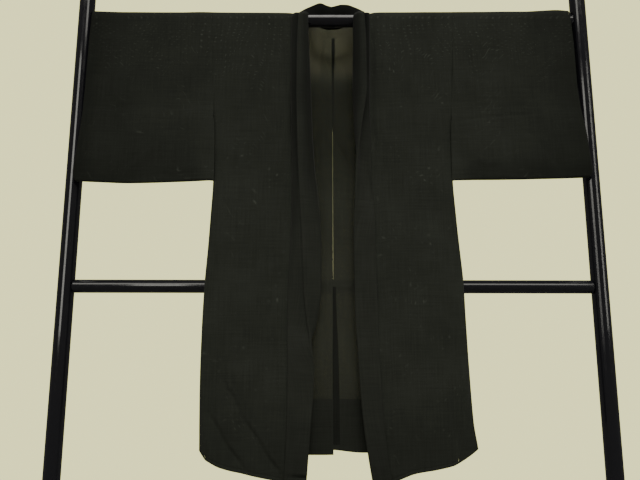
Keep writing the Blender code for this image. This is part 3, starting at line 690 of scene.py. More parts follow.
# ---- Body ------------------------------------------------------------------------------------
def front_patch(side, step):
    outer_top = LEVELS[-1].front_left
    neck_x = NECK[0].seam_x + NECK_CLEARANCE
    across = spaced_with_edges(outer_top - neck_x, step)
    arc = spaced(SEAT_R * math.pi / 2, step)[:-1, None]
    angle = math.pi / 2 * (1 - arc)
    inner = mix(neck_x, front_seam_x(side, RAIL_Z), arc)
    x = mix(inner, outer_top, across)
    dip = seam_dip(outer_top - x) * arc
    rise = SEAT_R + at(RAIL_RISE, side, x, by="x")
    over = grid_of(side, x, -SEAT_R * np.cos(angle) + dip, RAIL_Z + rise * np.sin(angle))
    down = spaced_to_hem(RAIL_Z - COLLAR[0].z, step)[:, None]
    hem_x = mix(front_seam_x(side, COLLAR[0].z), FRONT_HEM[side][-1].x, across)
    low = at(FRONT_HEM[side], "z", hem_x, by="x")
    z = mix(RAIL_Z, low, down)
    outer = at(LEVELS, "front_" + side, z)
    x = mix(front_seam_x(side, z), outer, across)
    drawn_in = seam_dip(outer - x) + hem_groove(z - low)
    hung = grid_of(side, x, front_y(side, x, z) + drawn_in, z)
    points = np.concatenate([over, hung])
    return points, cloth_map(points, -1), lined_up_behind(points, back_y, side)


def back_patch(side, step):
    outer_top = LEVELS[-1].back_left
    neck_x = NECK[0].seam_x + NECK_CLEARANCE
    beside = mix(neck_x, outer_top, spaced_with_edges(LEVELS[-1].back_left - neck_x, step))
    neck = mix(0.0, neck_x, spaced_with_edges(neck_x, step * 0.8))[:-1]
    shares = np.concatenate([neck, beside]) / outer_top
    seams = NECK[::-1]
    x = shares * outer_top
    on_neck = x < seams[-1].seam_x
    tucked = ease(seams[-1].seam_x - x, 0.0, 0.006)
    top_y = np.where(on_neck, at(seams, "seam_y", x, by="seam_x") + NECK_TUCK[0] * tucked, 0.0)
    top_z = np.where(on_neck, at(seams, "seam_z", x, by="seam_x") + NECK_TUCK[1] * tucked,
                     RAIL_Z + SEAT_R + at(RAIL_RISE, side, x, by="x"))
    low_y = back_y(side, x, RAIL_Z)
    angle = math.pi / 2 * (1 - spaced(SEAT_R * math.pi / 2, step)[:-1, None])
    over = grid_of(side, x, mix(top_y, low_y, np.cos(angle)),
                   mix(RAIL_Z, top_z, np.sin(angle)))
    down = spaced_to_hem(RAIL_Z - BACK_HEM[side][0].z, step)[:, None]
    low = at(BACK_HEM[side], "z", shares * BACK_HEM[side][-1].x, by="x")
    z = mix(RAIL_Z, low, down)
    outer = at(LEVELS, "back_" + side, z)
    x = mix(at(SEAM_SLIT, "half", z), outer, shares)
    drawn_in = seam_dip(outer - x) + hem_groove(z - low)
    hung = grid_of(side, x, back_y(side, x, z) - drawn_in, z)
    points = np.concatenate([over, hung])
    return points, cloth_map(points, 1)


def gusset_patch(side, step):
    """The folded strip between the front's and the back's side edges, from armpit to hem."""
    across = np.concatenate([spaced(0.03, step / 2), 1 + spaced(0.03, step / 2)[1:]])
    front_hem, fold_hem, back_hem = GUSSET_HEM[side]
    hem_z = np.interp(across, (0, 1, 2), (front_hem, fold_hem, back_hem))
    z = mix(GUSSET_TOP_Z, hem_z, spaced(GUSSET_TOP_Z - front_hem, step)[:, None])
    front_x = at(LEVELS, "front_" + side, z)
    back_x = at(LEVELS, "back_" + side, z)
    fold_x = at(LEVELS, "fold_" + side, z) + 0.4 * WALL
    front_depth = front_y(side, front_x, z) + seam_dip(0)
    back_depth = back_y(side, back_x, z) - seam_dip(0)
    fold_depth_y = mix(front_depth, back_depth, GUSSET_FOLD_SHARE)
    toward_front = np.clip(1 - across, 0, 1)
    toward_back = np.clip(across - 1, 0, 1)
    x = fold_x + (front_x - fold_x) * toward_front + (back_x - fold_x) * toward_back
    y = (fold_depth_y + (front_depth - fold_depth_y) * toward_front
         + (back_depth - fold_depth_y) * toward_back)
    points = grid_of(side, x, y, z)
    lengths = np.concatenate([np.zeros((len(z), 1)), np.cumsum(
        np.linalg.norm(np.diff(points, axis=1), axis=2), axis=1)], axis=1)
    down = columns_down(points) + RAIL_Z - GUSSET_TOP_Z
    return points, np.stack([lengths, -down], axis=-1)


def build_body(side, cloth, finish):
    piece = cloth_piece("body_" + side, [front_patch(side, cloth.step),
                                         back_patch(side, cloth.step)], finish)
    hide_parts("front_" + side, "back_" + side)
    return piece


# ---- Sleeves ---------------------------------------------------------------------------------
def cuff_sewn(z):
    """1 where the outer edge is sewn, 0 where it is the cuff's opening."""
    return 1 - ease(z, CUFF_SEWN_Z, CUFF_OPEN_Z)


def turned(inset, sewn):
    """Share of the way to the other layer, at an inset from an edge where the two are sewn."""
    near = np.clip(1 - inset / SLEEVE_TURN, 0.0, 1.0)
    return sewn * (1 - np.sqrt(1 - near ** 2))


def sleeve_patch(side, layer, step):
    """One layer of a sleeve, which turns to meet the other along the hem and below the cuff."""
    insets = SLEEVE_EDGE * np.array(BESIDE_EDGE)
    wide = SLEEVE[-1].front_out - SLEEVE[-1].front_in
    near = np.array(BESIDE_SEAM) / wide
    across = np.concatenate([near[:-1], mix(near[-1], 1.0, spaced(wide, step))])[:-1]
    across = np.concatenate([across, np.ones(len(insets))])
    from_edge = np.concatenate([np.full(len(across) - len(insets), insets[0]), insets])
    bottom = at(SLEEVE_HEM[side], "z", mix(SLEEVE[0].front_in, SLEEVE[0].front_out, across),
                by="x")
    tall = RAIL_Z - bottom.mean() - SLEEVE_CORNER_R
    upper = mix(RAIL_Z, bottom + SLEEVE_CORNER_R, spaced(tall, step)[:, None])
    lower = np.concatenate([mix(SLEEVE_CORNER_R, insets[0], spaced(
        SLEEVE_CORNER_R - insets[0], step / 2))[1:-1], insets])[:, None]
    z = np.concatenate([upper, bottom + lower])
    above = np.broadcast_to(z - bottom, z.shape)
    sewn = cuff_sewn(z)
    both_x = {}
    for name in ("front", "back"):
        sewn_on = ease(z, CUFF_SEWN_Z, CUFF_OPEN_Z)
        seam_x = at(LEVELS, "%s_%s" % (name, side), z)
        lapped = np.minimum(at(SLEEVE, name + "_in", z), seam_x - SLEEVE_LAP[side])
        inner = mix(lapped, seam_x, sewn_on)
        outer = mix(at(SLEEVE, name + "_out", z), at(SLEEVE, "front_out", z), sewn)
        if name == "front":
            outer = outer + at(CUFF_REACH, side, z)
        drop = SLEEVE_CORNER_CUT * np.clip(SLEEVE_CORNER_R - above, 0, None)
        outer = outer - (SLEEVE_CORNER_R - np.sqrt(SLEEVE_CORNER_R ** 2 - drop ** 2))
        both_x[name] = mix(inner, outer - insets[0], across) + insets[0] - from_edge
    from_inner = both_x["front"] - both_x["front"][:, :1]
    toward_hem = turned(above, ease(from_inner, 0.0, 0.012))
    toward_side = turned(np.broadcast_to(from_edge, z.shape), sewn)
    toward = np.maximum(toward_hem, toward_side)
    middle_x = (both_x["front"] + both_x["back"]) / 2
    x = mix(both_x[layer], middle_x, toward)
    front_depth, back_depth = sleeve_depths(side, x, z)
    own, other = (front_depth, back_depth) if layer == "front" else (back_depth, front_depth)
    y = mix(own, (own + other) / 2, toward)
    facing = -1 if layer == "front" else 1
    armhole = np.where(z > CUFF_SEWN_Z, seam_dip(from_inner), 0.0)
    hung = grid_of(side, x, y - facing * armhole, z)
    angle = math.pi / 2 * (1 - spaced(SEAT_R * math.pi / 2, step)[:-1, None])
    rise = SEAT_R + at(RAIL_RISE, side, x[0], by="x")
    over = grid_of(side, x[0], facing * SEAT_R * np.cos(angle), RAIL_Z + rise * np.sin(angle))
    over[0, :, 0] = SIDES[side] * middle_x[0]
    points = np.concatenate([over, hung])
    if layer == "back":
        return points, cloth_map(points, facing)
    behind = lined_up_behind(points, lambda *place: sleeve_depths(*place)[1], side)
    return points, cloth_map(points, facing), behind


def build_sleeve(side, cloth, finish):
    piece = cloth_piece("sleeve_" + side, [sleeve_patch(side, "front", cloth.step),
                                           sleeve_patch(side, "back", cloth.step)],
                        finish)
    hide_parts("sleeve_%s_front" % side, "sleeve_%s_back" % side)
    return piece


# ---- Collar ----------------------------------------------------------------------------------
def collar_ends(side, z):
    """The collar's seam, roll and flap lines at heights of the front."""
    seam_x, flap_x = front_seam_x(side, z), at(COLLAR, "flap_" + side, z)
    seam = grid_of(side, seam_x, front_y(side, seam_x, z) - SEAM_LAP, z)
    roll_y = at(LEVELS, "front_y", z) - at(COLLAR, "lift_" + side, z)
    roll = grid_of(side, at(COLLAR, "roll_" + side, z), roll_y, z)
    flap = grid_of(side, flap_x, front_y(side, flap_x, z) - FLAP_OVER_FRONT, z)
    return seam, roll, flap


def neck_ends(side, place):
    """The same three lines round the neck, at places among the neck's rows (0 is the first)."""
    rows = range(len(NECK))
    ends = []
    for end in ("seam", "roll", "flap"):
        x, y, z = (curve(rows, [getattr(row, "%s_%s" % (end, axis)) for row in NECK], place)
                   for axis in "xyz")
        if end == "roll":
            off_peak = (place - NECK_PEAK_ROW) / NECK_PEAK_WIDTH
            z = z + NECK_PEAK[side] * np.exp(-off_peak ** 2)
        ends.append(grid_of(side, x, y, z))
    return ends


def arc_ends(side, share):
    """The same three lines over the front quarter of the rail."""
    tops = neck_ends(side, np.zeros(1))
    lows = collar_ends(side, np.array([RAIL_Z]))
    ends = [mix(top, low, share[:, None]) for top, low in zip(tops, lows)]
    angle = math.pi / 2 * (1 - share)
    for end, over in ((ends[0], SEAM_LAP), (ends[2], FLAP_OVER_RAIL)):
        end[:, 1] = -(SEAT_R + over) * np.cos(angle)
        end[:, 2] = RAIL_Z + (SEAT_R + over) * np.sin(angle)
    return ends


def unit(vectors):
    return vectors / np.linalg.norm(vectors, axis=-1, keepdims=True)


def collar_sections(seam, roll, flap):
    """Points across the folded band: up its inner leg, round the roll and down the flap."""
    along = unit(roll - seam)
    hang = flap - seam
    outward = unit(hang - np.sum(hang * along, axis=-1, keepdims=True) * along)
    height = np.linalg.norm(roll - seam, axis=-1) - COLLAR_ROLL_DEPTH
    flap_up = np.sum(hang * along, axis=-1)
    flap_out = np.sum(hang * outward, axis=-1)
    radius = COLLAR_ROLL / 2
    ups, outs = [], []
    belly = (np.clip(LEG_BELLY_SHARE * height * outward[:, 1], 0.0, LEG_BELLY)
             * ease(seam[:, 2], *BELLY_HEIGHTS))
    for t in np.linspace(0, 1, LEG_STEPS + 1)[:-1]:
        ups.append(height * t)
        outs.append(-LEG_STANDS_IN - belly * np.sin(math.pi * t ** 1.2))
    for angle in np.linspace(-math.pi / 2, math.pi / 2, ROLL_STEPS):
        ups.append(height + COLLAR_ROLL_DEPTH * math.cos(angle))
        outs.append(radius * (1 + math.sin(angle)) * np.ones_like(height))
    first_out = 2 * radius
    steep = ease(seam[:, 2], *ROLLED_HEIGHTS)
    bends = [mix(hung, rolled, steep) for hung, rolled in zip(HUNG_BENDS, FLAP_BENDS)]
    for t in np.linspace(0, 1, FLAP_STEPS + 1)[1:]:
        for line, start, end, (early, late) in ((ups, height, flap_up, bends[:2]),
                                                (outs, first_out, flap_out, bends[2:])):
            line.append(start * (1 - t) ** 3 + end * t ** 3
                        + 3 * t * (1 - t) ** 2 * mix(start, end, early)
                        + 3 * t * t * (1 - t) * mix(start, end, late))
    up, out = np.stack(ups, axis=-1)[..., None], np.stack(outs, axis=-1)[..., None]
    return seam[:, None] + up * along[:, None] + out * outward[:, None]


def collar_lines(side, step):
    """Seam, roll and flap lines from the front's lowest point to the centre back."""
    heights = mix(COLLAR[0].z, RAIL_Z, spaced(RAIL_Z - COLLAR[0].z, step))
    shares = 1 - spaced(0.03, step)[1:-1]
    places = (len(NECK) - 1) * spaced(0.13, step)
    parts = collar_ends(side, heights), arc_ends(side, shares), neck_ends(side, places)
    return [np.concatenate(lines) for lines in zip(*parts)]


def build_collar(cloth, finish):
    halves = [collar_sections(*collar_lines(side, cloth.step)) for side in SIDES]
    points = np.concatenate([halves[0], halves[1][::-1][1:]])
    steps = np.linalg.norm(np.diff(points, axis=1), axis=2)
    across = np.concatenate([np.zeros((len(points), 1)), np.cumsum(steps, axis=1)], axis=1)
    places = np.stack([across, columns_down(points)[:, :1] + 0 * across], axis=-1)
    height = points[:, :1, 2]
    # Painted shade: the inner leg round the neck, and the band near the neck, by these shares.
    round_neck = ease(height, RAIL_Z + 0.004, RAIL_Z + SEAT_R + 0.002)
    column = np.arange(points.shape[1])
    inner = column < LEG_POINTS
    folded = np.interp(column, COLLAR_SHADE[0], COLLAR_SHADE[1])
    low, high, more = COLLAR_SHADED_MORE
    on_left = ease(height, *COLLAR_SHADED["left"]) * (1 + more * ease(height, low, high))
    on_right = ease(height, *COLLAR_SHADED["right"])
    shaded = np.where(points[:, :1, 0] > 0, on_left, on_right)
    shade = np.clip(np.maximum(round_neck * inner, shaded * folded), 0.0, 1.0)
    # The painted shade's shares go in the 'behind' map, which the doubled finish reads.
    lined = np.stack([shade, 0 * across + MOIRE_PITCH / 2], axis=-1)
    piece = cloth_piece("collar", [(points, places, lined)], finish,
                        COLLAR_THICKNESS)
    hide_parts("collar_left", "collar_right")
    return piece


# ---- Hems and seam allowances ----------------------------------------------------------------
def back_hem_patch(side, step):
    across = spaced(BACK_HEM[side][-1].x, step)
    hem_z = at(BACK_HEM[side], "z", across * BACK_HEM[side][-1].x, by="x") + CLOTH_APART
    z = mix(HEM_BAND_TOP_Z, hem_z, spaced(HEM_BAND_TOP_Z - hem_z.min(), step)[:, None])
    x = across * (at(LEVELS, "back_" + side, z) - HEM_BAND_INSET)
    return laid(side, x, back_y(side, x, z) - CLOTH_APART, z, 1)


def front_hem_patch(side, step):
    across = spaced(FRONT_HEM[side][-1].x, step)
    hem_x = mix(front_seam_x(side, COLLAR[0].z), FRONT_HEM[side][-1].x, across)
    low = at(FRONT_HEM[side], "z", hem_x, by="x") + CLOTH_APART
    down = spaced(FRONT_HEM_WIDTH, step)[:, None]
    z = mix(low + FRONT_HEM_WIDTH, low, down)
    inner = front_seam_x(side, z) + HEM_BAND_INSET
    x = mix(inner, at(LEVELS, "front_" + side, z) - HEM_BAND_INSET, across)
    return laid(side, x, front_y(side, x, z) + CLOTH_APART, z, -1)


def strip_patch(side, layer_y, column, reach, heights, behind):
    """A narrow allowance along a layer's edge, pressed open on its inner face."""
    z = heights[:, None]
    edge = at(LEVELS, column, z)
    x = edge + mix(-reach[0], reach[1], ALLOWANCE_ACROSS)
    return laid(side, x, layer_y(side, np.minimum(x, edge), z) + behind, z, 1)


def side_allowances(side, step):
    """What is left inside the armhole and gusset seams, on the front's and the back's side."""
    patches = []
    for name, layer_y, inward in (("front_", front_y, 1), ("back_", back_y, -1)):
        for top, low, reach in ((RAIL_Z, CUFF_SEWN_Z, ARMHOLE_ALLOWANCE),
                                (GUSSET_TOP_Z, HEM_BAND_TOP_Z, SIDE_ALLOWANCE)):
            heights = mix(top, low, spaced(top - low, step))
            patches.append(strip_patch(side, layer_y, name + side, reach, heights,
                                       inward * (CLOTH_APART + SEAM_DIP / 2)))
    return patches


def centre_allowance_patches(step):
    """Both allowances of the centre back seam, pressed to the left, widening towards the hem."""
    patches = []
    for top, low in CENTRE_STRIPS:
        z = mix(top, low, spaced(top - low, step))[:, None]
        x = at(CENTRE_ALLOWANCE, "left", z) * np.array(CENTRE_ACROSS)
        stand = np.array(CENTRE_STAND) * mix(CENTRE_STAND_LOW, CENTRE_STAND_HIGH,
                                             ease(z, *CENTRE_STAND_HEIGHTS))
        points = grid_of("left", x, back_y("left", np.abs(x), z) - stand, z)
        # Painted shade: the allowances are darkened by this share.
        shade = np.broadcast_to((CENTRE_SHADE, MOIRE_PITCH / 2), points.shape[:2] + (2,))
        patches.append((points, cloth_map(points, 1), shade))
    return patches


def sleeve_allowances(side, step):
    """The sleeve's turned-up lower edge and its cuff hem, on the front layer's inner face."""
    inner, outer = SLEEVE[0].front_in + SLEEVE_FOLD_INSET, SLEEVE[0].front_out - SLEEVE_CORNER_R
    x = mix(inner, outer, spaced(outer - inner, step))
    bottom = at(SLEEVE_HEM[side], "z", x, by="x") + SLEEVE_EDGE
    z = mix(bottom + SLEEVE_FOLD, bottom, spaced(SLEEVE_FOLD, step)[:, None])
    patches = [laid(side, x, sleeve_depths(side, x, z)[0] + CLOTH_APART, z, -1)]
    z = mix(CUFF_SEWN_Z, bottom[0], spaced(CUFF_SEWN_Z - bottom[0], step))[:, None]
    x = at(SLEEVE, "front_in", z) + SLEEVE_SIDE_INSET + SLEEVE_SIDE_HEM * ALLOWANCE_ACROSS
    patches.append(laid(side, x, sleeve_depths(side, x, z)[0] + CLOTH_APART, z, -1))
    z = mix(RAIL_Z - 0.002, CUFF_OPEN_Z, spaced(RAIL_Z - CUFF_OPEN_Z, step))[:, None]
    for number, (layer, behind) in enumerate((("front", CLOTH_APART), ("back", -CLOTH_APART))):
        x = at(SLEEVE, layer + "_out", z) - CUFF_INSET - CUFF_HEM * ALLOWANCE_ACROSS
        patches.append(laid(side, x, sleeve_depths(side, x, z)[number] + behind, z, 1))
    return patches


# ---- Node helpers ----------------------------------------------------------------------------
def feed(tree, sockets, inputs):
    """Gives each socket its value, or links it to an output."""
    for socket, value in dict(inputs).items():
        if isinstance(value, bpy.types.NodeSocket):
            tree.links.new(value, sockets[socket])
        else:
            sockets[socket].default_value = value


def add_node(tree, kind, inputs=(), **settings):
    made = tree.nodes.new("ShaderNode" + kind)
    for name, value in settings.items():
        setattr(made, name, value)
    feed(tree, made.inputs, inputs)
    return made


def calculate(tree, operation, *values, clamp=False):
    made = add_node(tree, "Math", enumerate(values), operation=operation, use_clamp=clamp)
    return made.outputs[0]


def multiply(tree, *values):
    return calculate(tree, "MULTIPLY", *values)


def rest_of(tree, value):
    """What is left of 1 without a value."""
    return calculate(tree, "SUBTRACT", 1.0, value)


def steepened(tree, value, slope, start):
    """A value on a slope from a start, kept between 0 and 1."""
    return calculate(tree, "MULTIPLY_ADD", value, slope, start, clamp=True)


def remap(tree, value, low=0.0, high=1.0, to_low=0.0, to_high=1.0, kind="LINEAR"):
    """A value carried over from one range to another, and kept within it."""
    made = add_node(tree, "MapRange", {"Value": value, "From Min": low, "From Max": high,
                                       "To Min": to_low, "To Max": to_high},
                    interpolation_type=kind)
    return made.outputs[0]


def by_place(tree, value, stops):
    """A value that follows (metres, value) stops."""
    low, high = stops[0][0], stops[-1][0]
    made = add_node(tree, "ValToRGB", {"Fac": remap(tree, value, low, high)})
    marks = made.color_ramp.elements
    for number, (place, grey) in enumerate(stops):
        position = (place - low) / (high - low)
        mark = marks[number] if number < 2 else marks.new(position)
        mark.position = position
        mark.color = (grey, grey, grey, 1.0)
    return made.outputs["Color"]


def part_of(tree, vector, axis):
    return add_node(tree, "SeparateXYZ", {0: vector}).outputs[axis]


def noise(tree, place, scale, detail, roughness=0.5):
    made = add_node(tree, "TexNoise", {"Vector": place, "Scale": scale, "Detail": detail,
                                       "Roughness": roughness})
    return made.outputs["Fac"]


def ramp(tree, factor, dark, light):
    """A colour between two others, each given as three numbers or as an output to link."""
    made = add_node(tree, "Mix", {"Factor": factor}, data_type="RGBA")
    colour_sockets = [socket for socket in made.inputs if socket.type == "RGBA"]
    given = [colour if isinstance(colour, bpy.types.NodeSocket) else (*colour, 1.0)
             for colour in (dark, light)]
    feed(tree, colour_sockets, enumerate(given))
    return next(socket for socket in made.outputs if socket.type == "RGBA")


def shared_group(name, inputs, outputs):
    """Marks a function that fills a node group, which is made once and used by every material.

    An input without a value is a vector, and the others are numbers.
    """
    def mark(fill):
        def group():
            if name in bpy.data.node_groups:
                return bpy.data.node_groups[name]
            tree = bpy.data.node_groups.new(name, "ShaderNodeTree")
            for label, value in inputs.items():
                kind = "NodeSocketVector" if value is None else "NodeSocketFloat"
                socket = tree.interface.new_socket(label, in_out="INPUT", socket_type=kind)
                if value is not None:
                    socket.default_value = value
            for label in outputs:
                tree.interface.new_socket(label, in_out="OUTPUT", socket_type="NodeSocketFloat")
            given = tree.nodes.new("NodeGroupInput").outputs
            out = tree.nodes.new("NodeGroupOutput").inputs
            feed(tree, out, zip(outputs, fill(tree, given)))
            return tree
        return group
    return mark


def use_group(tree, group, inputs):
    return add_node(tree, "Group", inputs, node_tree=group()).outputs


def new_material(name):
    made = bpy.data.materials.new(name)
    made.use_nodes = True
    return made, made.node_tree, made.node_tree.nodes["Principled BSDF"].inputs


# ---- Shared effects --------------------------------------------------------------------------
@shared_group("crossed threads", {"Cloth": None, "Pitch": 0.0006, "Open": 0.7},
              ("Cover", "Height"))
def threads_group(tree, given):
    """Crossed threads of a weave: Cover is 1 on thread and lower in the holes between."""
    holes, ways = [], []
    for axis in "XY":
        turns = calculate(tree, "DIVIDE", part_of(tree, given["Cloth"], axis), given["Pitch"])
        way = calculate(tree, "SINE", multiply(tree, turns, 2 * math.pi))
        ways.append(calculate(tree, "SINE", multiply(tree, turns, math.pi)))
        holes.append(steepened(tree, way, HOLE_SLOPE, -HOLE_SLOPE * HOLE_START))
    hole = multiply(tree, *holes)
    open_here = given["Open"]
    down = calculate(tree, "ABSOLUTE", part_of(tree, given["Cloth"], "Y"))
    for place, near, beyond in OPENNESS:
        slack = remap(tree, down, place - OPENNESS_BLEND, place + OPENNESS_BLEND, near, beyond,
                      "SMOOTHSTEP")
        open_here = multiply(tree, open_here, slack)
    cover = rest_of(tree, multiply(tree, hole, open_here))
    over = multiply(tree, *ways)
    height = calculate(tree, "MULTIPLY_ADD", over, CROSSING_HEIGHT, rest_of(tree, hole))
    return cover, height


@shared_group("uneven yarn", {"Cloth": None, "Fineness": 320.0}, ("Tone",))
def yarn_group(tree, given):
    """Yarn that is thicker and duller here and there, as faint streaks along both threads."""
    tones = []
    for stretch in ((1.0, YARN_STREAK, 1.0), (YARN_STREAK, 1.0, 1.0)):
        drawn = add_node(tree, "VectorMath", {0: given["Cloth"], 1: stretch},
                         operation="MULTIPLY")
        tones.append(noise(tree, drawn.outputs[0], given["Fineness"], detail=2.0))
    cloudy = multiply(tree, noise(tree, given["Cloth"], scale=9.0, detail=3.0), 0.36)
    return [calculate(tree, "MULTIPLY_ADD", calculate(tree, "ADD", *tones), 0.32, cloudy)]


@shared_group("lined-up holes", {"Behind": None, "Cloth": None, "Pitch": MOIRE_PITCH},
              ("Spots",))
def moire_group(tree, given):
    """Painted light: spots where the holes of two layers line up, stronger in some places."""
    ways = []
    for axis in "XY":
        turns = calculate(tree, "DIVIDE", part_of(tree, given["Behind"], axis), given["Pitch"])
        way = calculate(tree, "COSINE", multiply(tree, turns, 2 * math.pi))
        ways.append(steepened(tree, way, slope=1.6, start=-0.6))
    near_shoulder, lower_down = MOIRE_OFFSETS
    band = remap(tree, part_of(tree, given["Cloth"], "Y"), -MOIRE_BAND[1], -MOIRE_BAND[0],
                 lower_down, near_shoulder, "SMOOTHSTEP")
    patchy = noise(tree, given["Cloth"], scale=14.0, detail=2.0)
    strong = steepened(tree, patchy, slope=3.6, start=band)
    uneven = noise(tree, given["Cloth"], scale=60.0, detail=1.0)
    each = steepened(tree, uneven, slope=4.0, start=-1.55)
    return [multiply(tree, multiply(tree, multiply(tree, *ways), strong), each)]


@shared_group("denser cloth", {"Place": None}, ("Dense",))
def painted_shade_group(tree, given):
    """Painted shade towards the sleeves' ends and hems, low and high up: 0 is the plain cloth."""
    across, up = (part_of(tree, given["Place"], axis) for axis in "XZ")
    past = remap(tree, calculate(tree, "ABSOLUTE", across), *PAST_ARMHOLE)
    more = multiply(tree, past, calculate(tree, "MULTIPLY_ADD", across, PAINTED_SHADE_TO_LEFT,
                                          PAINTED_SHADE_MIDDLE))
    unshaded = rest_of(tree, multiply(tree, by_place(tree, up, PAINTED_SHADE_AT_SLEEVE_HEM), more))
    for value, stops in ((across, PAINTED_SHADE_ACROSS), (up, PAINTED_SHADE_UP)):
        unshaded = multiply(tree, unshaded, rest_of(tree, by_place(tree, value, stops)))
    return [rest_of(tree, unshaded)]


@shared_group("handled enamel", {"Place": None, "Size": 40.0}, ("Rubbing", "Dust", "Ripple"))
def handling_group(tree, given):
    """Marks on enamel: fine rubbing that dulls it, settled dust and the spray's slight ripple."""
    place, size = given["Place"], given["Size"]
    rubbing = steepened(tree, noise(tree, place, size, detail=6.0, roughness=0.7),
                        slope=2.2, start=-0.9)
    dust = steepened(tree, noise(tree, place, multiply(tree, size, 14.0), detail=2.0),
                     slope=6.0, start=-3.9)
    return rubbing, dust, noise(tree, place, multiply(tree, size, 5.0), detail=1.0)


# ---- Finishes --------------------------------------------------------------------------------
def cloth_finish(name, cloth, colour, open_share):
    """Black gauze: fine crossed threads with holes between them, streaked by uneven yarn."""
    if name in bpy.data.materials:
        return bpy.data.materials[name]
    made, tree, shader = new_material(name)
    place = add_node(tree, "UVMap", uv_map="cloth").outputs[0]
    behind = add_node(tree, "UVMap", uv_map="behind").outputs[0]
    where = add_node(tree, "TexCoord").outputs["Object"]
    threads = use_group(tree, threads_group, {"Cloth": place, "Pitch": cloth.thread_pitch,
                                              "Open": open_share})
    tone = use_group(tree, yarn_group, {"Cloth": place})["Tone"]
    dark = [part * (1 - cloth.yarn_contrast) for part in colour]
    light = [part * (1 + cloth.yarn_contrast) for part in colour]
    yarn = ramp(tree, remap(tree, tone, 0.35, 0.65), dark, light)
    spots = use_group(tree, moire_group, {"Behind": behind, "Cloth": place})["Spots"]
    # Painted light: lighter spots where the holes line up, seen from the camera.
    toned = ramp(tree, spots, yarn, [part * (1 + cloth.moire) for part in colour])
    if open_share > 0:
        # Painted light and painted shade on the back's inner face.
        inner = add_node(tree, "NewGeometry").outputs["Backfacing"]
        down = part_of(tree, place, "Y")
        near_neck = remap(tree, down, *SHINE_DOWN, 1.0, 0.0, "SMOOTHSTEP")
        paler = remap(tree, down, *PALER_DOWN, 0.0, PALER, "SMOOTHSTEP")
        clear = rest_of(tree, by_place(tree, part_of(tree, where, "X"), NECK_STRIP))
        painted_light = calculate(tree, "ADD", multiply(tree, near_neck, clear), paler)
        toned = ramp(tree, multiply(tree, inner, painted_light), toned, cloth.painted_light_colour)
        painted_shade_down = multiply(tree, inner, by_place(tree, down, SHADED_DOWN))
        toned = ramp(tree, painted_shade_down, toned, BLACK)
        passed = add_node(tree, "LightPath").outputs["Transparent Depth"]
        once = calculate(tree, "MINIMUM", passed, 1.0)
        alpha = calculate(tree, "MAXIMUM", threads["Cover"], once)
        feed(tree, shader, {"Alpha": alpha})
    else:
        # Painted shade, by the share that the 'behind' map carries.
        toned = ramp(tree, part_of(tree, behind, "X"), toned, cloth.painted_shade_colour)
    # Painted shade: mixed towards black at the sleeves' ends and hems, low down and high up.
    painted_falloff = use_group(tree, painted_shade_group, {"Place": where})["Dense"]
    height = calculate(tree, "MULTIPLY_ADD", threads["Height"], 0.02, tone)
    bump = add_node(tree, "Bump", {"Strength": 0.12, "Distance": 0.0006, "Height": height})
    feed(tree, shader, {
        "Base Color": ramp(tree, painted_falloff, toned, BLACK),
        "Roughness": remap(tree, tone, to_low=cloth.roughness - ROUGHNESS_SPREAD,
                           to_high=cloth.roughness + ROUGHNESS_SPREAD),
        "Normal": bump.outputs[0], "Specular IOR Level": cloth.gloss,
        "Sheen Weight": cloth.sheen, "Sheen Roughness": SHEEN_ROUGHNESS})
    return made


def gauze_finish(cloth):
    return cloth_finish("black gauze weave", cloth, cloth.gauze_colour, cloth.open_share)


def doubled_finish(cloth):
    return cloth_finish("doubled black gauze weave", cloth, cloth.doubled_colour, 0.0)


def enamel_finish(stand):
    name = "gloss black enamel"
    if name in bpy.data.materials:
        return bpy.data.materials[name]
    made, tree, shader = new_material(name)
    place = add_node(tree, "TexCoord").outputs["Object"]
    marks = use_group(tree, handling_group, {"Place": place})
    dusty = [part + DUST_PALER for part in stand.enamel_colour]
    bump = add_node(tree, "Bump", {"Strength": 0.06, "Distance": 0.0004,
                                   "Height": marks["Ripple"]})
    feed(tree, shader, {
        "Base Color": ramp(tree, multiply(tree, marks["Dust"], DUST_SHARE), stand.enamel_colour,
                           dusty),
        "Roughness": remap(tree, marks["Rubbing"], to_low=stand.enamel_roughness,
                           to_high=stand.enamel_roughness + RUBBED_ROUGHNESS),
        "Normal": bump.outputs[0], "Coat Weight": COAT, "Coat Roughness": COAT_ROUGHNESS})
    return made


def floor_finish(stage):
    made, tree, shader = new_material("pale floor")
    place = add_node(tree, "TexCoord").outputs["Object"]
    light = list(stage.floor_colour)
    speckled = ramp(tree, noise(tree, place, scale=6.0, detail=5.0),
                    [part * FLOOR_SPECKLE for part in light], light)
    feed(tree, shader, {"Base Color": speckled, "Roughness": FLOOR_ROUGHNESS})
    return made


# ---- Settings --------------------------------------------------------------------------------
def number_property(name, description, default, **more):
    return bpy.props.FloatProperty(name=name, description=description, default=default, **more)


def length_property(name, description, default, **more):
    return number_property(name, description, default, unit="LENGTH", **more)


def power_property(name, description, default):
    return number_property(name, description, default, unit="POWER")


def share_property(name, description, default):
    return number_property(name, description, default, subtype="FACTOR", min=0.0, max=1.0)


def colour_property(name, description, default):
    return bpy.props.FloatVectorProperty(name=name, description=description, default=default,
                                         subtype="COLOR", size=3, min=0.0, max=1.0)


